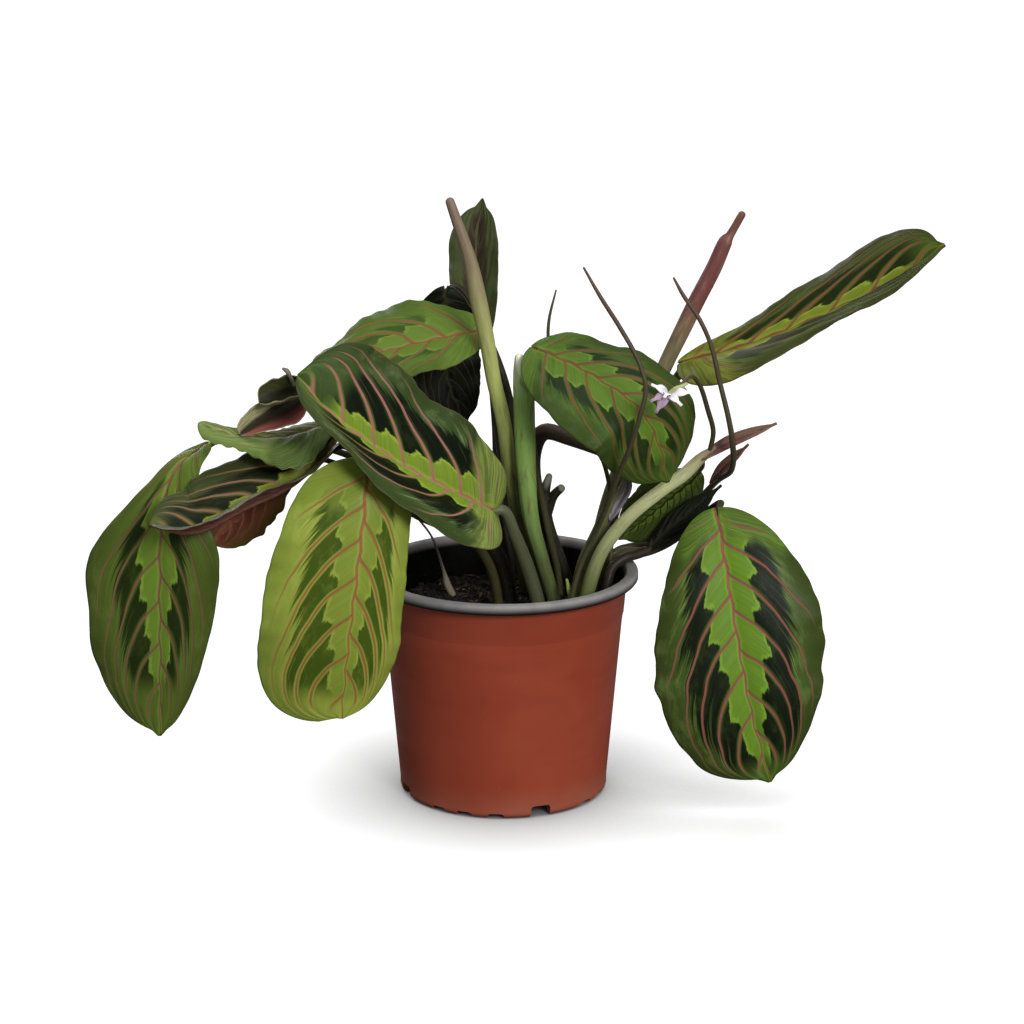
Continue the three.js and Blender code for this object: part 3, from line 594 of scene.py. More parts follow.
def blade_surface(blade, share, across):
    """The middle surface of a blade, by shares of the midrib and of the half-width from -1 to 1."""
    blade = {**PLAIN_BLADE, **blade}
    spans = len(blade["rib"]) - 1
    fine = smooth_line(blade["rib"], np.linspace(0, spans, 60 * spans + 1))
    run = arc_lengths(fine)
    run /= run[-1]
    heading = unit(np.gradient(fine, axis=0))
    centre = np.stack([np.interp(share, run, fine[:, k]) for k in range(3)], axis=1)
    ahead = unit(np.stack([np.interp(share, run, heading[:, k]) for k in range(3)], axis=1))
    faced = np.stack([along([face[k] for face in blade["face"]], share) for k in range(3)], axis=1)
    up = unit(faced - np.sum(faced * ahead, axis=1, keepdims=True) * ahead)
    right = np.cross(ahead, up)

    # The outline: an oval with its own power and peak, scaled on either side and a little uneven.
    peak, power = blade["peak"], blade["power"]
    reach = np.where(share < peak, (peak - share) / peak, (share - peak) / (1 - peak))
    outline = np.maximum(1 - reach**power, 0) ** (1 / power)
    spots = [Vector((9 * s, 5 * blade["width"], side)) for side in (0, 7) for s in share]
    uneven = [noise.fractal(spot, 1, 2, 2) for spot in spots]
    uneven = 1 + blade["ragged"] * np.array(uneven).reshape(2, -1)
    half = np.maximum(blade["width"] / 2 * outline, 0.7)
    sides = [(along(blade[name], share) * part)[:, None] for name, part in zip(("left", "right"), uneven)]
    wide = half[:, None] * np.where(across > 0, sides[1], sides[0])

    # Across the blade it rises from the midrib and droops again; waves and frills swell towards the edge.
    a = np.abs(across)[None, :]
    rise = np.radians(along(blade["rise"], share))[:, None, None]
    droop = np.radians(along(blade["droop"], share))[:, None, None]
    steps = (np.arange(12) + 0.5) / 12
    angle = rise - droop * steps * a[:, :, None]
    out = np.cos(angle).mean(axis=2) * a
    lift = np.sin(angle).mean(axis=2) * a
    turn = blade["waves"] * share[:, None] + blade["phase"] + np.where(across > 0, 0.35, 0)
    small = min(1, blade["width"] / 60)
    wave = blade["wave"] * small * a**3 * np.sin(2 * math.pi * turn) * outline[:, None]
    frill = blade["frill"] * small * a**5 * np.sin(2 * math.pi * (3.7 * turn + 0.4)) * outline[:, None]

    # Along the blade: lobes beside the stalk, a longer toe on the right of the tip, and the point itself.
    lobe = -blade["lobe"] * a**1.5 * np.exp(-share / 0.1)[:, None]
    toe = blade["toe"] * np.where(across > 0, a**1.5, 0) * np.exp(-(1 - share) / 0.12)[:, None]
    toe = toe * outline[:, None] ** 0.6
    point = blade["point"] * np.exp(-(1 - share) / 0.014)[:, None] * np.exp(-((wide * a / 2.2) ** 2))
    points = centre[:, None, :] + right[:, None, :] * (np.sign(across) * wide * out)[:, :, None]
    points += up[:, None, :] * (wide * lift + wave + frill)[:, :, None]
    points += ahead[:, None, :] * (lobe + toe + point)[:, :, None]
    return points, vein_number(share[:, None], a, blade["laterals"]), wide * a


def vein_spacing(points, vein, share, across):
    """How many mm lie between one side vein and the next at each spot of the blade."""
    forward, sideways = np.gradient(points, share, axis=0), np.gradient(points, across, axis=1)
    per_share, per_across = np.gradient(vein, share, axis=0), np.gradient(vein, across, axis=1)
    e, f, g = (np.sum(one * two, axis=2) for one, two in (
        (forward, forward), (forward, sideways), (sideways, sideways)))
    steep = g * per_share**2 - 2 * f * per_share * per_across + e * per_across**2
    return np.clip(np.sqrt(np.maximum(e * g - f**2, 1e-6) / np.maximum(steep, 1e-6)), 1.5, 20)


def both_faces(*layers):
    """Values for the top of a blade, and the same again for its underside."""
    grid = np.stack(np.broadcast_arrays(*layers), axis=2).reshape(-1, 3)
    return np.vstack([grid, grid])


def blade_shell(blade, rows, columns, thickness=BLADE_THICKNESS):
    """A closed thin blade with quilted relief: points, faces, places, materials' numbers and vein gaps."""
    blade = {**PLAIN_BLADE, **blade}
    even = np.linspace(0, 1, rows)
    share = 0.35 * even + 0.65 * (1 - np.cos(math.pi * even)) / 2
    across = np.linspace(-1, 1, columns)
    middle, vein, gap = blade_surface(blade, share, across)
    normal = unit(np.cross(np.gradient(middle, axis=1), np.gradient(middle, axis=0)))
    a = np.abs(across)[None, :]
    phase = np.mod(vein + np.where(across > 0, 0.45, 0), 1)
    puffed = np.sin(math.pi * phase) ** 0.8 * np.clip(a / 0.12, 0, 1) * np.clip((1 - a) / 0.25, 0, 1)
    groove = np.exp(-((gap / 1.1) ** 2)) * np.clip((1 - share) * 6, 0, 1)[:, None]
    relief = blade["quilt"] * (puffed - 0.5) - 0.35 * groove
    edge = np.clip((1 - a) / 0.05, 0.35, 1)
    thick = thickness * edge / 2 + 0.25 * groove
    top = middle + normal * (relief + thick)[:, :, None]
    bottom = middle + normal * (relief - thick - 0.15 * groove)[:, :, None]
    count = rows * columns
    corner = np.arange(count).reshape(rows, columns)
    a0, b0 = corner[:-1, :-1].ravel(), corner[:-1, 1:].ravel()
    c0, d0 = corner[1:, :-1].ravel(), corner[1:, 1:].ravel()
    faces = np.column_stack([a0, b0, d0, c0]).tolist()
    faces += (np.column_stack([a0, c0, d0, b0]) + count).tolist()
    rim = [*corner[0, :-1], *corner[:-1, -1], *corner[-1, :0:-1], *corner[:0:-1, 0]]
    faces += [(here, here + count, there + count, there) for here, there in zip(rim, rim[1:] + rim[:1])]
    slots = [0] * len(a0) + [1] * (len(faces) - len(a0))
    places = both_faces(across, share[:, None], vein)
    gaps = both_faces(gap * np.sign(across), vein_spacing(middle, vein, share, across), 0)
    return np.vstack([top.reshape(-1, 3), bottom.reshape(-1, 3)]), faces, places, slots, gaps


def stalk(cad_node, name, skin, slot, sides, *runs, bract=None, bract_skin="bract_skin"):
    """One stalk of one or more tapered runs of points with a radius, perhaps with a bract."""
    parts = [(*tube(run, sides, STALK_RIDGES), 0) for run in runs]
    materials = [skins[skin]]
    if bract:
        points, faces, places = blade_shell(bract, *BRACT_MESH)[:3]
        places = np.column_stack([0.15 * places[:, 0], places[:, 1], 60 * places[:, 1]])
        parts.append((points, faces, places, 1))
        materials.append(skins[bract_skin])
    piece = joined_up(name, parts, materials)
    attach(piece, "root")
    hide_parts(cad_node)


stalk("stalk_tall", "tall_stalk", "tall_stalk_skin", "stalk_green", 24, [
    (-23, 5, 265, 2), (-14, 4, 238, 3), (-11, 3, 223, 3.7), (-7, 2, 204, 3.4), (-4, 2, 186, 3.3),
    (0, 3, 168, 3.3), (3, 5, 146, 3.3), (7.5, 6, 120, 3.2), (13, 7, 93, 3.2), (16.5, 7, 79, 3.2),
    (18, 7, 66, 3),
])
stalk("leaf_rolled", "rolled_leaf", "rolled_leaf_painted_light_skin", "stalk_green", 28, [
    (7, -4, 198, 2), (8, -4, 192, 3.6), (9, -4, 184, 4.6), (9.5, -4, 163, 4.6), (10.5, -4, 143, 4.1),
    (12.5, -3.5, 124, 3.6), (17.5, -2.5, 105, 3), (23, -1, 84, 3), (25, -1, 66, 3),
])
stalk("stalk_maroon", "maroon_stalk", "maroon_stalk_skin", "stalk_maroon", 24, [
    (104, 12, 258, 1.7), (99, 12, 249, 1.9), (97, 12, 246, 3.1), (92, 12, 234, 3.5), (85, 12, 220, 3.6),
    (79, 12, 207, 3.6), (73, 13, 194, 3.4), (65, 14, 175, 3.2), (55, 14, 152, 3.2), (47, 14, 129, 3.2),
    (42, 15, 106, 3.2), (40, 16, 84, 3.2), (40, 16, 66, 3.2),
])
stalk("stalk_pale", "pale_stalk", "pale_stalk_skin", "stalk_pale", 24, [
    (92, -15, 160, 1.2), (86, -14, 155, 2.4), (79, -14, 148, 2.9), (69, -12, 140, 2.9), (54, -9, 126, 3),
    (44, -8, 112, 3), (39, -8, 99, 3.2), (36, -8, 84, 3.2), (35, -8, 66, 3.2),
], bract=dict(
    rib=[(84, -15.5, 154), (98, -15.5, 162.5), (117, -16, 170.5)],
    face=[(0, -0.75, 0.66)] * 2,
    width=6.4, rise=35, droop=40, lobe=0, wave=0.4, frill=0, point=2, power=1.7,
))
stalk("sheath_papery", "papery_sheath", "papery_sheath_skin", "stalk_green", 24, [
    (54, -1, 148, 0.8), (54, -1, 140, 2), (48, 0, 130, 3), (42, 3, 116, 3.2), (36, 5, 101, 3.4),
    (33, 6, 84, 3.4), (32, 6, 66, 3.4),
], bract_skin="papery_curl_skin", bract=dict(
    rib=[(47, -2.5, 124), (51.5, -3.5, 132), (55, -4.5, 140), (54.5, -4, 148), (50.5, -3, 155)],
    face=[(-0.5, -0.7, 0.4), (-0.7, -0.7, 0), (-0.6, -0.8, -0.3)],
    width=6, rise=50, droop=70, lobe=0, wave=2, frill=2,
))
stalk("stem_brown", "brown_stem", "brown_stem_skin_pale", "stem_brown", 24, [
    (79, -13, 148, 2.2), (74, -4, 146, 2.4), (61, 5, 147.5, 2.8), (31, 10, 157.5, 3.2),
    (18, 16, 159.5, 3.8), (13, 19, 149, 4), (14, 21, 127, 4), (17, 22, 99, 4), (20, 22, 82, 4),
    (20, 22, 66, 4),
])
stalk("stem_left", "left_stem", "brown_stem_skin", "stem_brown", 24, [
    (-62, -26, 160, 2.4), (-45, -16, 145, 2.8), (-28, -8, 131, 3), (-11, 0, 118, 3.2), (-1, 5, 103, 3.2),
    (3, 8, 84, 3.2), (3, 8, 66, 3.2),
])
stalk("stub_forked", "forked_stub", "forked_stub_skin", "stem_brown", 20, [
    (20.5, 15.5, 139.5, 1.5), (18.4, 15.5, 131, 2.6), (19.5, 16, 118, 3), (26, 17, 99, 2.7),
    (31, 18, 84, 2.4), (32, 18, 66, 2.2),
], [
    (26, 15.5, 134, 1.9), (22.6, 15.5, 130.6, 2.1), (19.6, 16, 122, 2.3),
])
stalk("stalk_dried", "dried_stalk", "dried_stalk_skin", "stalk_dried", 16, [
    (-38, 8, 122, 0.5), (-32, 10, 113, 0.5), (-27, 13, 97, 0.7), (-25, 14, 89, 1.7), (-22, 15, 82, 1.4),
    (-21, 15, 68, 1.2),
])
stalk("sprout", "soil_sprout", "sprout_skin", "stalk_green", 16, [
    (28, -14, 100, 0.6), (29, -14, 95, 1.1), (31, -14, 86, 1.3), (31, -14, 70, 1.3),
])
stalk("flower_stalk_tall", "flower_stalk_one", "flower_stalk_skin", "stem_brown", 12, [
    (34, -44, 245, 0.5), (41, -46, 233, 0.9), (49, -50, 221, 1), (57, -54, 207, 1), (60, -56, 196, 1),
    (58, -56, 185, 1), (54, -52, 170, 1), (49, -42, 154, 1.1), (45, -32, 139, 1.2), (40, -22, 123, 1.2),
    (34, -18, 108, 1.2), (29, -18, 86, 1.2), (28, -18, 68, 1.2),
])
stalk("flower_stalk_right", "flower_stalk_two", "flower_stalk_skin", "stem_brown", 12, [
    (73, -20, 236, 0.5), (77, -22, 229, 0.9), (84, -25, 219, 1), (89, -26, 208, 1), (93, -27, 192, 1.1),
    (97, -28, 176, 1.2), (99, -26, 165, 1.3), (100, -12, 150, 1.3), (95, 12, 138, 1.4), (87, 25, 125, 1.5),
    (76, 27, 112, 1.5), (65, 23, 106, 1.5), (57, 20, 105.6, 1.5), (51, 18.5, 104, 1.5), (47, 18, 97, 1.5),
    (45, 17.5, 84, 1.5), (45, 17.5, 72, 1.5),
], bract=dict(
    rib=[(92, 12, 137), (98, 4, 147), (106, -3, 157)],
    face=[(0, -0.8, 0.6)] * 2,
    width=5.8, rise=30, droop=30, lobe=0, wave=0.4, frill=0, point=3, power=1.7,
))
stalk("flower_stalk_thin", "flower_stalk_three", "thin_flower_stalk_skin", "stem_brown", 12, [
    (23, -1, 227, 0.4), (20, 2, 213, 0.7), (20, 4, 202, 0.8), (25, 4, 183, 0.9), (37, 2, 163, 0.9),
    (44, 2, 150, 1), (48, 6, 130, 1), (48, 4.5, 109, 1), (47, 3, 93, 1), (47, 3, 67, 1),
])
stalk("flower_stalk_short", "flower_stalk_four", "flower_stalk_skin", "stem_brown", 12, [
    (74, -50, 195, 0.7), (79, -47, 199, 0.8), (83, -41, 195, 1), (88, -30, 180, 1.1), (91, -20, 168, 1.1),
    (90, -15, 159, 1.1),
])

# Leaves
# Sixteen satin blades on their stalks, each with a lime fishbone along the midrib, near-black feathered
# blotches between brick-red side veins and a maroon or grey-green back. Each is grown as one thin sheet.
leaf_marking, taken, given = grouped(
    "leaf_marking",
    Vector="Place, Gaps",
    Color="Margin, Edge, Stroke, Lime, Blotch, Vein, Base, Rim",
    Float="Lime Reach, Blotch Reach, Blotches, Vein Width, Halo, Base Share, Tip Share, Rim Width, Seed",
)
side, share, line = taken["Place"].parts()
rib_distance, spacing = taken["Gaps"].parts()[:2]
a = side.maths("ABSOLUTE")
right_half = side.maths("GREATER_THAN", 0.0)
other_seed = taken["Seed"] + right_half * 7.3


def on_blade(across, length, scale_across, scale_length, detail, roughness=0.55):
    """Noise stretched along or across the side veins and shifted by the leaf's seed."""
    place = {"X": across * scale_across, "Y": length * scale_length, "Z": other_seed * 3.17}
    return put(leaf_marking, "CombineXYZ", place).grain(1.0, detail, roughness)


wander = on_blade(a, share, 2.0, 4.0, 2)
line = wander * 0.3 + (line + right_half * 0.45)
phase = line.maths("FRACT")
cell = put(leaf_marking, "CombineXYZ", {"X": line.maths("FLOOR"), "Y": other_seed, "Z": 0.37})
dice = put(leaf_marking, "TexWhiteNoise", {"Vector": cell}, noise_dimensions="3D")
brush = on_blade(line, a, 8.0, 1.5, 4, 0.6)
threads = on_blade(line, a, 24.0, 1.2, 3, 0.6)
# Soft patches of painted sheen, lighter and darker, over the blade and the blotches.
sheen_clouds = on_blade(a, share, 5.0, 9.0, 4, 0.65)
ragged = (on_blade(a, share, 26.0, 30.0, 4, 0.6) - 0.5) * 0.1 + a

# The lime fishbone narrows towards the tip. Behind each side vein it spreads outwards, then a step
# square to the midrib takes it in again before the next vein.
reach = taken["Lime Reach"] * (share * -0.98 + 1.45) * (dice * 0.3 + 0.85)
from_outer = ragged - reach * (phase * 0.55 + 0.86)
from_inner = ragged - reach * (phase * 0.3 + 0.48)
from_step = phase - ((reach - ragged) * 3.4 + (dice * 0.25 + 0.38))
past_inner = from_inner.between(-0.014, 0.014)
past_outer = from_outer.between(-0.014, 0.014)
at_tip = (share - taken["Tip Share"]).between(-0.08, 0.03)
past_lime = past_inner * past_outer.maths("MAXIMUM", from_step.between(-0.05, 0.05))
past_lime = past_lime.maths("MAXIMUM", at_tip)
near_outer = from_outer.between(-0.06, -0.02)
pale_rim = past_inner * near_outer.maths("MAXIMUM", from_step.between(-0.22, -0.04)) * past_lime.rest()

# The blotches end in brush strokes that run with the side veins; the light strokes beyond them are a
# painted sheen.
outside = a - ((dice - 0.5) * 0.14 + ((brush - 0.5) * 0.5 + taken["Blotch Reach"]))
gap_to_vein = phase.maths("MINIMUM", phase.rest()) * spacing
past_halo = (gap_to_vein - taken["Halo"]).between(-0.3, 0.5)
base_edge = (wander - 0.5) * 0.25 + (a * -0.05 + share)
past_base = (base_edge - taken["Base Share"]).between(-0.06, 0.04)
ends = past_base * at_tip.rest()
blotch = past_lime * outside.between(0.03, -0.06) * past_halo * ends * taken["Blotches"]
bunches = on_blade(line, a, 1.7, 2.0, 1).between(0.4, 0.58)
# Light strokes of painted sheen just beyond the blotch edges.
sheen_strokes = outside.between(-0.2, -0.04) * outside.between(0.17, 0.03)
sheen_strokes = sheen_strokes * threads.between(0.47, 0.62) * bunches * ends * past_lime

# Side veins keep their width most of the way out; the midrib kinks a little at each of them.
width = (taken["Vein Width"] * (a * -0.45 + 1.0)).maths("MINIMUM", spacing * 0.14 - 0.12)
vein = gap_to_vein.between(width, width * 0.45) * a.between(0.96, 0.76)
vein = vein * share.between(0.99, 0.93) * share.between(0.01, 0.07)
off_line = (share * 7.5).maths("PINGPONG", 0.5) * 2.0 - 0.5
rib_gap = (rib_distance + off_line).maths("ABSOLUTE")
rib_share = rib_gap.maths("DIVIDE", share * -0.8 + 1.15)

light_lime = taken["Lime"].stretched((1.75, 1.6, 1.9))
lime = layered(
    taken["Lime"],
    (threads.between(0.6, 0.38), 0.24, taken["Margin"]),
    (pale_rim, 0.6, light_lime),
)
base = threads.between(0.6, 0.4, 0.0, 0.6).mix(taken["Base"], taken["Edge"])
blotch_colour = sheen_clouds.between(0.5, 0.72, 0.0, 0.2).mix(taken["Blotch"], taken["Margin"])
vein_colour = a.between(0.4, 0.97, 0.0, 0.35).mix(taken["Vein"], taken["Margin"])
# Light streaks of painted sheen over the outer part of the blotches.
sheen_streaks = brush.between(0.55, 0.7) * blotch * a.between(0.3, 0.6) * bunches
colour = layered(
    a.between(0.55, 0.95).mix(taken["Margin"], taken["Edge"]),
    (threads.between(0.56, 0.36), 0.25, taken["Edge"]),
    # Lighter and darker patches of painted sheen.
    (sheen_clouds.between(0.5, 0.7), 0.3, taken["Stroke"]),
    (sheen_clouds.between(0.48, 0.32), 0.35, taken["Edge"]),
    (sheen_strokes, 0.75, taken["Stroke"]),
    (past_lime.rest(), 1.0, lime),
    (past_base.rest(), 0.85, base),
    (blotch, 1.0, blotch_colour),
    (sheen_streaks, 0.5, taken["Stroke"]),
    (gap_to_vein.between(1.6, 0.8) * a.between(0.6, 0.2), 0.35, taken["Lime"]),
    (rib_share.between(2.6, 1.0), 0.4, light_lime),
    ((a - taken["Rim Width"].rest()).between(0.0, 0.012), 0.7, taken["Rim"]),
    (vein, 0.95, vein_colour),
    (rib_share.between(0.95, 0.55), 0.92, taken["Vein"]),
)
join(given["Colour"], colour)
join(given["Roughness"], vein * 0.1 + brush.between(0.3, 0.75, 0.36, 0.52))
join(given["Height"], brush * 0.8 + (vein * -1.2 + threads))

# Each look is a leaf face's colours (margin, edge, painted sheen, lime, blotch, vein, base, rim) and
# amounts (lime reach, blotch reach, blotches, vein width, halo, base share, tip share, rim width).
DEEP = (
    "455a22 39461b 78904a 668a26 0f1808 8a5048 64822c 4a4428",
    0.31, 0.66, 1.0, 0.9, 0.2, 0.11, 0.97, 0.015,
)
LEFT = (
    "596b28 4b5a22 6f8240 68862c 1b280a 7c5644 667c2c 4a4828",
    0.26, 0.52, 0.95, 0.75, 0.3, 0.16, 0.86, 0.015,
)
GLOSSY = (
    "42562a 35441f 7c8c5c 7f9830 0c1507 a86e66 8a9a4a 5a4a30",
    0.25, 0.68, 1.0, 0.9, 0.2, 0.12, 0.85, 0.02,
)
LIME = (
    "98a442 84953a aab858 7a8c32 3a500f 95603c 73862e 8a9a48",
    0.3, 0.68, 0.95, 0.8, 0.9, 0.13, 0.93, 0.015,
)
BRIGHT = (
    "526a24 4a5e20 667c32 607828 2a4012 844e38 627c2a 4a4a26",
    0.34, 0.5, 0.75, 0.85, 1.0, 0.26, 0.8, 0.02,
)
MIDDLE = (
    "40561e 37481a 587030 587624 1f2d0f 744a34 587628 464628",
    0.33, 0.58, 1.0, 0.8, 0.9, 0.1, 0.92, 0.015,
)
FAR = (
    "42521e 383f18 566a2e 7b8a2e 1b250d 824e3c 7e8630 5a4a30",
    0.24, 0.62, 0.95, 0.72, 0.5, 0.2, 0.93, 0.03,
)
# Near-black painted shade for the leaf that hangs in shadow behind the others.
PAINTED_SHADE = (
    "14180c 0f120a 1c2212 1a2210 090b06 3a3824 14180c 5a6438",
    0.12, 0.8, 0.9, 0.5, 0.2, 0.05, 0.97, 0.03,
)
UPRIGHT = (
    "4a5430 3c4628 5a6040 4a5230 382a24 5c423c 4a4a34 4a4a34",
    0.16, 0.5, 0.85, 0.6, 0.3, 0.1, 0.97, 0.02,
)
POINTED = (
    "464f2a 3a4422 626a40 78822e 141a0c 8e6854 3c2a1e 6a5a4a",
    0.22, 0.62, 0.95, 0.8, 0.3, 0.14, 0.96, 0.025,
)
PALE = (
    "788c48 687c3c 8a9c5c 788a4c 42522a 6e543c 34461c 94a468",
    0.2, 0.5, 0.2, 0.3, 0.3, 0.45, 0.97, 0.02,
)
THIN = (
    "44521e 3c481c 4c5a26 4a5a20 26300f 1c240e 44521e 3c481c",
    0.2, 0.5, 0.5, 0.5, 0.2, 0.05, 0.97, 0.02,
)
# Near-black painted shade for the small leaf low by the rim.
RIM_PAINTED_SHADE = (
    "1c2014 14170d 262a1a 20241a 0c0e09 2a2a1e 1c2014 2a2a1e",
    0.12, 0.8, 0.9, 0.5, 0.2, 0.05, 0.97, 0.02,
)
MAROON_BACK = (
    "663630 552e28 784a42 7c5444 4a2a25 865448 663630 5c4a34",
    0.3, 0.7, 0.5, 0.6, 0.3, 0.05, 0.97, 0.05,
)
HANGING_BACK = (
    "824a38 70602c 8c6644 8a5642 5e3428 945e4a 744034 6a5c34",
    0.3, 0.6, 0.5, 0.6, 0.3, 0.1, 0.97, 0.08,
)
GREEN_BACK = (
    "66704a 586240 717a52 7a8450 4e4a3a 80604e 66704a 5a4a36",
    0.3, 0.7, 0.4, 0.6, 0.3, 0.05, 0.97, 0.02,
)
BEIGE_BACK = (
    "8c8a62 7c7c54 a3a27c 8c8a62 6a6844 7a6a4c 7a6a4c b0ae8a",
    0.3, 0.7, 0.2, 0.3, 0.2, 0.1, 0.97, 0.1,
)
LIME_BACK = (
    "7f8c4c 727e44 8a9656 8c9a52 5e6c38 8a6a50 7f8c4c 8a9a48",
    0.3, 0.7, 0.4, 0.6, 0.3, 0.05, 0.97, 0.02,
)


def rolled_material(name, left, middle, right):
    """The inside of a leaf that has dried and curled up: a tone on either side, painted shade in the middle
    of the curl, and pale edges.
    """
    material, shader, place = material_named(name, "skin_place")
    threads = place.grain((9, 1.5, 0), 4, 0.65)
    side = threads * 0.5 + (place.parts()[0] - 0.25)
    # The middle tone is painted shade inside the curl.
    colour = side.between(-0.6, -0.2).mix(left, middle)
    colour = layered(
        side.between(0.15, 0.5).mix(colour, right),
        (side.maths("ABSOLUTE").between(0.9, 1.0), 0.7, "a3a27c"),
        (threads.between(0.55, 0.35), 0.5, (0.02, 0.018, 0.01, 1)),
    )
    rough = threads.between(0.3, 0.7, 0.45, 0.65)
    surface(shader, colour, rough, threads, distance=0.0003, gloss=0.15)
    return material


FACE_GLOSS = 0.11
BACK_GLOSS = 0.08
BACK_SEED = 30.0
KEEL_MARKS = np.array((0.26, 0.1, 0.0))


def leaf(cad_node, seed, look, back, skin, slot, mesh, stalk, dried=None, **blade):
    """One leaf in one piece: blade, stalk, and the keel as which the stalk runs on under the blade."""
    parts = [blade_shell(blade, *mesh)]
    radius = stalk[0][3]
    sizes = np.array((0.45, 0.8 * radius, radius))
    middle = blade_surface(blade, KEEL_MARKS, np.array((-0.01, 0.0, 0.01)))[0]
    beyond = blade_surface(blade, KEEL_MARKS + 0.02, np.array((0.0, 0.01)))[0]
    normal = unit(np.cross(middle[:, 2] - middle[:, 0], unit(beyond[:, 0] - middle[:, 1])))
    keel = middle[:, 1] - normal * (1.05 * sizes[:, None] + 0.15)
    line = [(*spot, size) for spot, size in zip(keel, sizes)] + stalk
    parts.append((*tube(line, 20, LEAF_STALK_RIDGES), 2))

    name = cad_node.replace("leaf_", "") + "_leaf"
    materials = []
    faces = (("_face", look, 0.0, FACE_GLOSS), ("_back", back, BACK_SEED, BACK_GLOSS))
    for side, (codes, *amounts), shift, gloss in faces:
        if not amounts:
            materials.append(rolled_material(name + side, *codes.split()))
        else:
            amounts.append(seed + shift)
            finish = dict(depth=0.5, distance=0.00025, gloss=gloss)
            materials.append(skinned(name + side, leaf_marking, codes, amounts, **finish))
    materials.append(skins[skin])
    if dried:
        parts.append((*tube(dried, 10, DRIED_RIDGES), 3))
        materials.append(skins["dried_stalk_skin"])
    piece = joined_up(name, parts, materials)
    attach(piece, "root")
    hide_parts(cad_node)


leaf(
    "leaf_right_hanging", 1, DEEP, GREEN_BACK, "flower_stalk_skin", "leaf_green", (110, 73),
    rib=[(94, -14, 129), (98, -24, 105), (103, -32, 75), (109, -36, 45), (117, -36, 16)],
    face=[(0, -0.87, 0.49), (0, -0.97, 0.26), (0, -0.99, 0.16)],
    stalk=[(95, -9, 132, 1.6), (96, 0, 131, 1.7), (94, 9, 127, 1.8), (86, 14, 119, 2), (74, 15, 109, 2.2),
        (63, 13, 105, 2.3), (55, 12, 104.8, 2.3), (48.5, 11, 101, 2.3), (47, 10, 84, 2.3),
        (47, 10, 67, 2.3)],
    width=80, left=[0.95, 1, 0.97, 0.85, 0.72], right=[0.85, 0.85, 0.97, 1, 1.1], rise=14, droop=[34, 38],
    peak=0.56, ragged=0.05, laterals=7,
)
leaf(
    "leaf_front_hanging", 2, LIME, LIME_BACK, "olive_petiole_skin", "leaf_lime", (110, 73),
    rib=[(-57, -55, 163), (-58, -64, 148), (-61, -70, 122), (-65, -72, 91), (-69, -68, 55)],
    face=[(0.19, -0.83, 0.52), (0.24, -0.94, 0.25), (0.2, -0.97, 0.16)],
    stalk=[(-56, -50, 164, 1.6), (-53, -44, 157, 1.8), (-48, -37, 145, 2), (-39, -29, 135, 2.2),
        (-28, -20, 127, 2.2), (-15, -14, 119, 2.2), (-6, -9, 105, 2.2), (-2, -7, 85, 2.2),
        (-2, -7, 68, 2.2)],
    width=76, left=[0.85, 0.62, 0.62, 0.7, 0.75], right=[1.02, 0.94, 1, 1.12, 1.5], rise=-4, droop=[11, 30],
    lobe=3, toe=14, power=2.4, point=1, laterals=7,
)
leaf(
    "leaf_far_left", 3, LEFT, GREEN_BACK, "flower_stalk_skin", "leaf_green", (110, 65),
    rib=[(-130, -20, 162), (-139, -28, 156), (-146, -34, 142), (-148, -38, 116), (-149, -38, 80),
        (-151, -32, 36)],
    face=[(-0.45, -0.44, 0.77), (-0.19, -0.83, 0.52), (0, -0.97, 0.26), (0, -0.99, 0.16)],
    stalk=[(-124, -15, 163, 1.3), (-106, -10, 163, 1.4), (-84, -8, 160, 1.5), (-60, -9, 152, 1.5),
        (-42, -14, 143, 1.5)],
    width=60, left=[0.5, 0.65, 0.88, 0.8, 0.7, 0.6], right=[0.4, 0.48, 1.1, 1.1, 1.15, 1.1], rise=10,
    droop=[30, 34], laterals=7.5,
)
leaf(
    "leaf_left_pointing", 4, POINTED, MAROON_BACK, "brown_stem_skin", "leaf_dark", (90, 61),
    rib=[(-73, -30, 164), (-89, -42, 151), (-110, -50, 142), (-131, -55, 133), (-150, -56, 136)],
    face=[(0, -0.15, 0.99), (0, -0.15, 0.99), (0, -0.29, 0.96)],
    stalk=[(-69, -28, 164, 1.3), (-63, -25, 160, 1.4), (-57, -23, 156, 1.4)],
    width=50, left=[0.5, 0.8, 1, 1, 1], rise=46, droop=24, power=2.8, wave=0.8, point=0.5, laterals=7,
)
leaf(
    "leaf_left_underside", 5, BRIGHT, HANGING_BACK, "brown_stem_skin", "leaf_maroon", (60, 41),
    rib=[(-95, -26, 156), (-106, -25, 146), (-117, -21, 133), (-128, -17, 118)],
    face=[(0.19, 0.98, 0.03)] * 2,
    stalk=[(-88, -24, 158, 1.1), (-76, -18, 155, 1.2), (-62, -15, 148, 1.2), (-50, -19, 148, 1.2)],
    width=32, rise=6, droop=20, ragged=0.1, laterals=6,
)
leaf(
    "leaf_left_pale", 6, PALE, GREEN_BACK, "brown_stem_skin", "leaf_green", (60, 41),
    rib=[(-76, -29, 174), (-94, -34, 170), (-113, -37, 171), (-130, -38, 176)],
    face=[(0, -0.29, 0.96)] * 2,
    stalk=[(-71, -26, 173, 1.1), (-60, -21, 166, 1.2), (-50, -18, 149, 1.2)],
    width=34, left=[0.7, 1.1, 1.2, 0.6, 0.55, 0.6], right=[0.6, 0.7, 0.5, 0.6, 0.6, 0.6], rise=10, droop=50,
    frill=1.2, power=2.8, point=0, laterals=6,
)
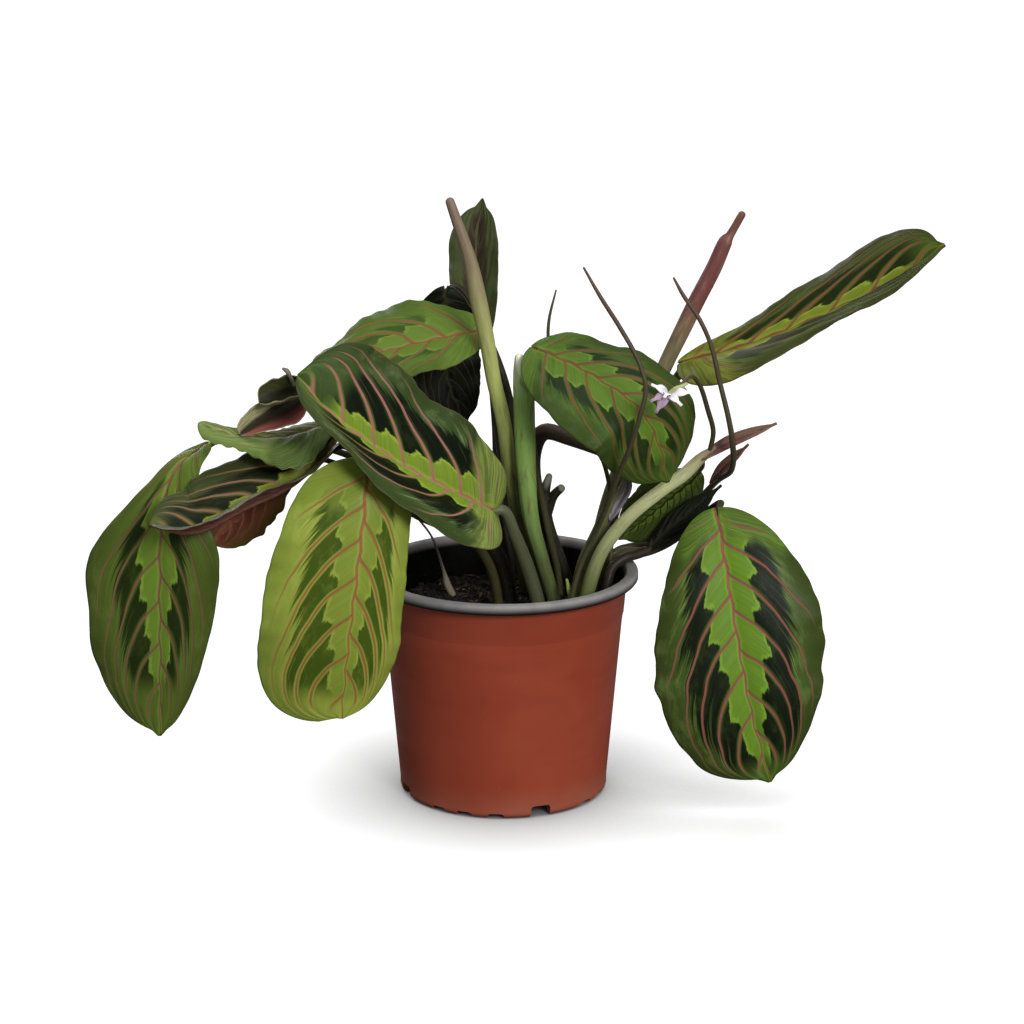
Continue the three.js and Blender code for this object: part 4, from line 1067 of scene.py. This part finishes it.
leaf(
    # The second of these three tones is painted shade inside the curl.
    "leaf_left_curled_upper", 7, ["8c8a62 2c2a12 4c5230"], BEIGE_BACK,
    "brown_stem_skin", "leaf_dark", (50, 41),
    rib=[(-85, -34, 190.5), (-94, -37, 188), (-103.5, -40, 186)],
    face=[(0, -0.75, 0.66), (-0.2, -0.75, 0.6)],
    stalk=[(-80, -32, 190, 1), (-68, -22, 183, 1.1), (-50, -8, 165, 1.2), (-37, -12, 138, 1.2)],
    dried=[(-93.4, -38, 200.4, 0.5), (-91.7, -38, 199.2, 1), (-90.4, -37.6, 196.8, 0.8),
        (-89, -36.5, 193, 0.9)],
    width=20, rise=5, droop=-95, power=3.2, lobe=1, wave=2, quilt=0.2, point=0, laterals=5,
)
leaf(
    # The second of these three tones is painted shade inside the curl.
    "leaf_left_curled_lower", 8, ["a05854 2e2914 a09e74"], BEIGE_BACK,
    "brown_stem_skin", "leaf_dark", (50, 41),
    rib=[(-87, -31, 187), (-98, -35, 181), (-112, -39, 172)],
    face=[(0.2, -0.75, 0.6), (0.1, -0.75, 0.66)],
    stalk=[(-82, -25, 182, 1), (-70, -17, 176, 1.1), (-52, -4, 157, 1.2), (-32, -10, 134, 1.2)],
    width=23, left=[1.3, 1.25, 0.75, 0.35], right=[0.55, 0.6, 0.6, 0.6], rise=5, droop=-50, power=2.8,
    lobe=1, wave=1.5, quilt=0.2, point=0, laterals=5,
)
leaf(
    "leaf_centre_dark", 9, GLOSSY, GREEN_BACK, "grey_petiole_skin", "leaf_dark", (110, 73),
    rib=[(-5, -22, 134), (-24, -34, 147), (-42, -43, 159), (-60, -51, 174), (-75, -56, 188),
        (-86, -58.5, 202)],
    face=[(0.26, -0.76, 0.59), (0.31, -0.68, 0.67), (0.3, -0.65, 0.7)],
    stalk=[(0, -19, 133, 2.4), (5, -15, 121, 2.9), (11, -12, 104, 3.2), (16, -12, 86, 3.2),
        (19, -12, 68, 3.2)],
    width=72, left=[1, 1, 0.85, 0.5, 0.35], right=[0.75, 0.85, 0.9, 1, 1.15], rise=36, droop=[20, 24],
    peak=0.5, power=3.3, point=0, laterals=7,
)
leaf(
    "leaf_upper_bright", 10, BRIGHT, GREEN_BACK, "flower_stalk_skin", "leaf_green", (90, 61),
    rib=[(-10, 18, 205), (-32, 12, 202), (-53, 6, 198), (-69, 0, 195), (-83, -6, 193)],
    face=[(0, -0.5, 0.87), (-0.1, -0.43, 0.9)],
    stalk=[(-7, 18, 201, 1.6), (-5, 20, 187, 1.9), (-3, 22, 164, 2), (0, 22, 141, 2), (3, 20, 118, 2),
        (8, 18, 95, 2), (10, 18, 78, 2), (11, 18, 66, 2)],
    width=58, left=[0.8, 0.75, 0.75, 0.7, 0.7], right=[0.9, 1, 0.95, 0.65, 0.5], rise=12, droop=20,
    laterals=5.5,
)
leaf(
    "leaf_behind_dark", 11, PAINTED_SHADE, MAROON_BACK, "brown_stem_skin", "leaf_dark", (80, 49),
    rib=[(-26, 50, 215), (-27, 52, 195), (-25, 50, 175), (-18, 46, 158)],
    face=[(0.19, -0.88, 0.44), (0.2, -0.92, 0.35)],
    stalk=[(-21.5, 54, 218, 1.3), (-13.5, 56, 208, 1.8), (-7, 51, 190, 2.2), (-3, 45, 158, 2.5),
        (-2, 38, 135, 2.6), (0, 33, 114, 2.6), (3, 30, 92, 2.4), (4, 29, 66, 2.4)],
    width=34, rise=10, wave=2, waves=4, ragged=0.08, laterals=7,
)
leaf(
    "leaf_upright", 12, UPRIGHT, GREEN_BACK, "brown_stem_skin", "leaf_green", (80, 49),
    rib=[(-10, 66, 194), (-12, 68, 217), (-12, 70, 237), (-10, 72, 251)],
    face=[(0, -0.97, 0.26)] * 2,
    stalk=[(-6, 65, 189, 1.7), (-1, 60, 177, 2), (3, 56, 163, 2), (6, 49, 146, 2), (8, 42, 128, 2),
        (10, 34, 105, 2), (12, 31, 84, 2), (13, 31, 66, 2)],
    width=30, left=[1, 1.05, 1, 1, 0.8], right=[0.7, 0.75, 0.8, 0.8, 0.7], rise=40, droop=10, peak=0.6,
    power=2.6, point=4, laterals=5,
)
leaf(
    "leaf_right_centre", 13, MIDDLE, GREEN_BACK, "flower_stalk_skin", "leaf_green", (100, 65),
    rib=[(15, -6, 202), (29, -16, 198), (43, -26, 192), (59, -32, 181), (67, -30, 165), (71, -24, 149)],
    face=[(0.1, -0.61, 0.78), (-0.1, -0.61, 0.78), (0.28, -0.86, 0.43)],
    stalk=[(12, -1, 199, 1.3), (12, 4, 186, 1.5), (12.5, 8, 163, 1.5), (15.5, 9.5, 140, 1.5),
        (20, 10.2, 116, 1.5), (25, 13, 92, 1.5), (26, 13, 66, 1.5)],
    width=64, left=[0.85, 0.68, 0.74, 0.8, 0.8], right=[1, 0.94, 0.94, 0.94, 1], rise=10, droop=[20, 30],
    laterals=7,
)
leaf(
    "leaf_far_right", 14, FAR, GREEN_BACK, "maroon_stalk_skin", "leaf_green", (110, 61),
    rib=[(80, 6, 194), (103, -2, 202), (135, -12, 217), (166, -24, 236), (185, -32, 251)],
    face=[(-0.2, -0.6, 0.77), (-0.19, -0.46, 0.87)],
    stalk=[(80, 12, 190, 1.8), (76, 19, 182, 2), (66, 23, 160, 2), (55, 24, 134, 2), (47, 23, 108, 2),
        (43, 22, 84, 2), (42, 22, 66, 2)],
    width=40, left=[0.5, 0.7, 0.95, 1.2, 1.6], right=[2.2, 1.5, 0.75, 0.8, 0.9], rise=[35, 40], droop=40,
    peak=0.6, laterals=6.5,
)
leaf(
    "leaf_under_stalk", 15, THIN, THIN, "flower_stalk_skin", "leaf_lime", (60, 41),
    rib=[(85, 10, 140), (73, 10, 129.5), (63, 8, 121.5), (53, 6, 114.5)],
    face=[(0.47, -0.84, -0.26)] * 2,
    stalk=[(88, 11, 144, 1), (88, 4, 149, 1.1), (86, -6, 151, 1.2), (84, -14, 153, 1.2)],
    width=33, rise=8, laterals=11,
)
leaf(
    "leaf_rim_dark", 16, RIM_PAINTED_SHADE, MAROON_BACK, "brown_stem_skin", "leaf_dark", (50, 33),
    rib=[(66, 4, 110), (73, 4, 117), (83, 4, 126), (93, 4, 135)],
    face=[(-0.3, -0.79, 0.53)] * 2,
    stalk=[(60, 2, 107, 2), (54, -1, 106.2, 2.2), (48.5, -3, 102.5, 2.2), (46, -5, 95, 2.2),
        (45, -6, 84, 2.2), (45, -6, 67, 2.2)],
    width=12, rise=20, power=1.7, point=5, laterals=6,
)

# Flower
# One small white bloom at the end of its short stalk, with thin papery petals, two lilac lobes and green
# sepals. Each petal is a curved sheet like a small blade, grown from the throat.
petal_skin, shader, place = material_named("petal_skin", "skin_place")
veins = place.grain((5, 1.2, 0), 4)
colour = layered(
    (place.parts()[1].between(0.9, 0.1) * 0.5).mix("f1eef2", "b9a3bd"),
    (veins.between(0.5, 0.7), 0.35, "cdbfd2"),
)
surface(shader, colour, 0.6, veins, distance=0.0002)
flower_skins = [petal_skin]
for name, scales, detail, dark, pale, rough in (
    ("lilac_lobe_skin", (6, 1.5, 0), 4, "c9b4cc", "8f7488", 0.6),
    ("sepal_skin", (8, 1.5, 0), 3, "8f9a5a", "c3c795", 0.55),
):
    skin, shader, place = material_named(name, "skin_place")
    veins = place.grain(scales, detail)
    surface(shader, veins.mix(dark, pale), rough, veins, distance=0.0002)
    flower_skins.append(skin)

# Each petal's reach from the throat, its width and the number of its skin.
THROAT = (69.5, -52, 192.5)
parts = []
for reach, width, slot in (
    ((-5, -3, 4), 4.0, 0), ((-4, -4, -5), 4.4, 1), ((4, -5, -2), 3.6, 0), ((8, -3, 1.5), 4.2, 0),
    ((-1, -5, 1), 3.4, 0), ((-5.5, -4, -1), 3.8, 1), ((6, -1, 4), 2.0, 2), ((5, 0, 2.6), 2.0, 2),
):
    tip = [c + r for c, r in zip(THROAT, reach)]
    bend = [c + 0.55 * r + lift for c, r, lift in zip(THROAT, reach, (0, -1.2, 0.8))]
    petal = dict(rib=[THROAT, bend, tip], face=[(0, -0.8, 0.6)] * 2, width=width)
    petal.update(lobe=0, wave=0.7, quilt=0.1, frill=0.4)
    points, faces, places, slots, gaps = blade_shell(petal, 22, 13, 0.3)
    parts.append((points, faces, places, slot, gaps))
stem = [(69.8, -51.6, 192.3, 0.9), (71.8, -51, 194.2, 0.7), (74, -50, 195, 0.7)]
parts.append((*tube(stem, 14, ridges=0), 2))
flower = joined_up("white_flower", parts, flower_skins)
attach(flower, "root")
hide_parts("flower")

# Studio
# A pale seamless floor, a bright even surround and three large soft lamps; the camera stands where the
# photograph was taken, 1.4 m from the plant and looking down on it by 15 degrees.
WHITE = (1, 1, 1, 1)
bpy.ops.mesh.primitive_plane_add(size=12, location=(0, 2, -0.0002))
floor = bpy.context.object
floor.name = "studio_floor"
paper, shader, place = material_named("floor_paper")
surface(shader, (0.2, 0.2, 0.2, 1), 0.9, gloss=0.1)
# To the camera the floor glows white, with a painted contact shadow where the pot and low leaves stand
# close over it.
open_floor = put(place.tree, "AmbientOcclusion", {"Distance": 0.065}, "AO", samples=12)
seen = put(place.tree, "LightPath", {}, "Is Camera Ray")
join(shader.inputs["Emission Strength"], seen * open_floor.maths("POWER", 1.7))
join(shader.inputs["Emission Color"], WHITE)
floor.data.materials.append(paper)

scene = bpy.context.scene
scene.world = bpy.data.worlds.new("studio_surround")
scene.world.use_nodes = True
background = scene.world.node_tree.nodes["Background"]
join(background.inputs["Color"], WHITE)
join(background.inputs["Strength"], 0.26)
scene.view_settings.view_transform = "Standard"

# Each lamp's place, width and power in watts; all of them face the pot's lip.
AIM = Vector((0, 0, 0.1))
for name, place, size, power in (
    ("overhead_softbox", (0, -0.2, 1.6), 1.2, 10),
    ("front_softbox", (0.75, -1.6, 0.95), 0.6, 25),
    ("back_softbox", (-0.7, 1.6, 0.9), 0.8, 9),
):
    lamp = bpy.data.lights.new(name, "AREA")
    lamp.shape = "DISK"
    lamp.size = size
    lamp.energy = power
    light = bpy.data.objects.new(name, lamp)
    light.location = place
    light.rotation_euler = (Vector(place) - AIM).to_track_quat("Z", "Y").to_euler()
    scene.collection.objects.link(light)

CAMERA_PITCH = math.radians(15.2)
camera_data = bpy.data.cameras.new("camera")
camera_data.sensor_width = 36
camera_data.lens = 111.3
camera_data.clip_end = 30
camera = bpy.data.objects.new("camera", camera_data)
camera.location = (0.0039, -1.351, 0.4941)
camera.rotation_euler = (math.pi / 2 - CAMERA_PITCH, 0, 0)
scene.collection.objects.link(camera)
scene.camera = camera
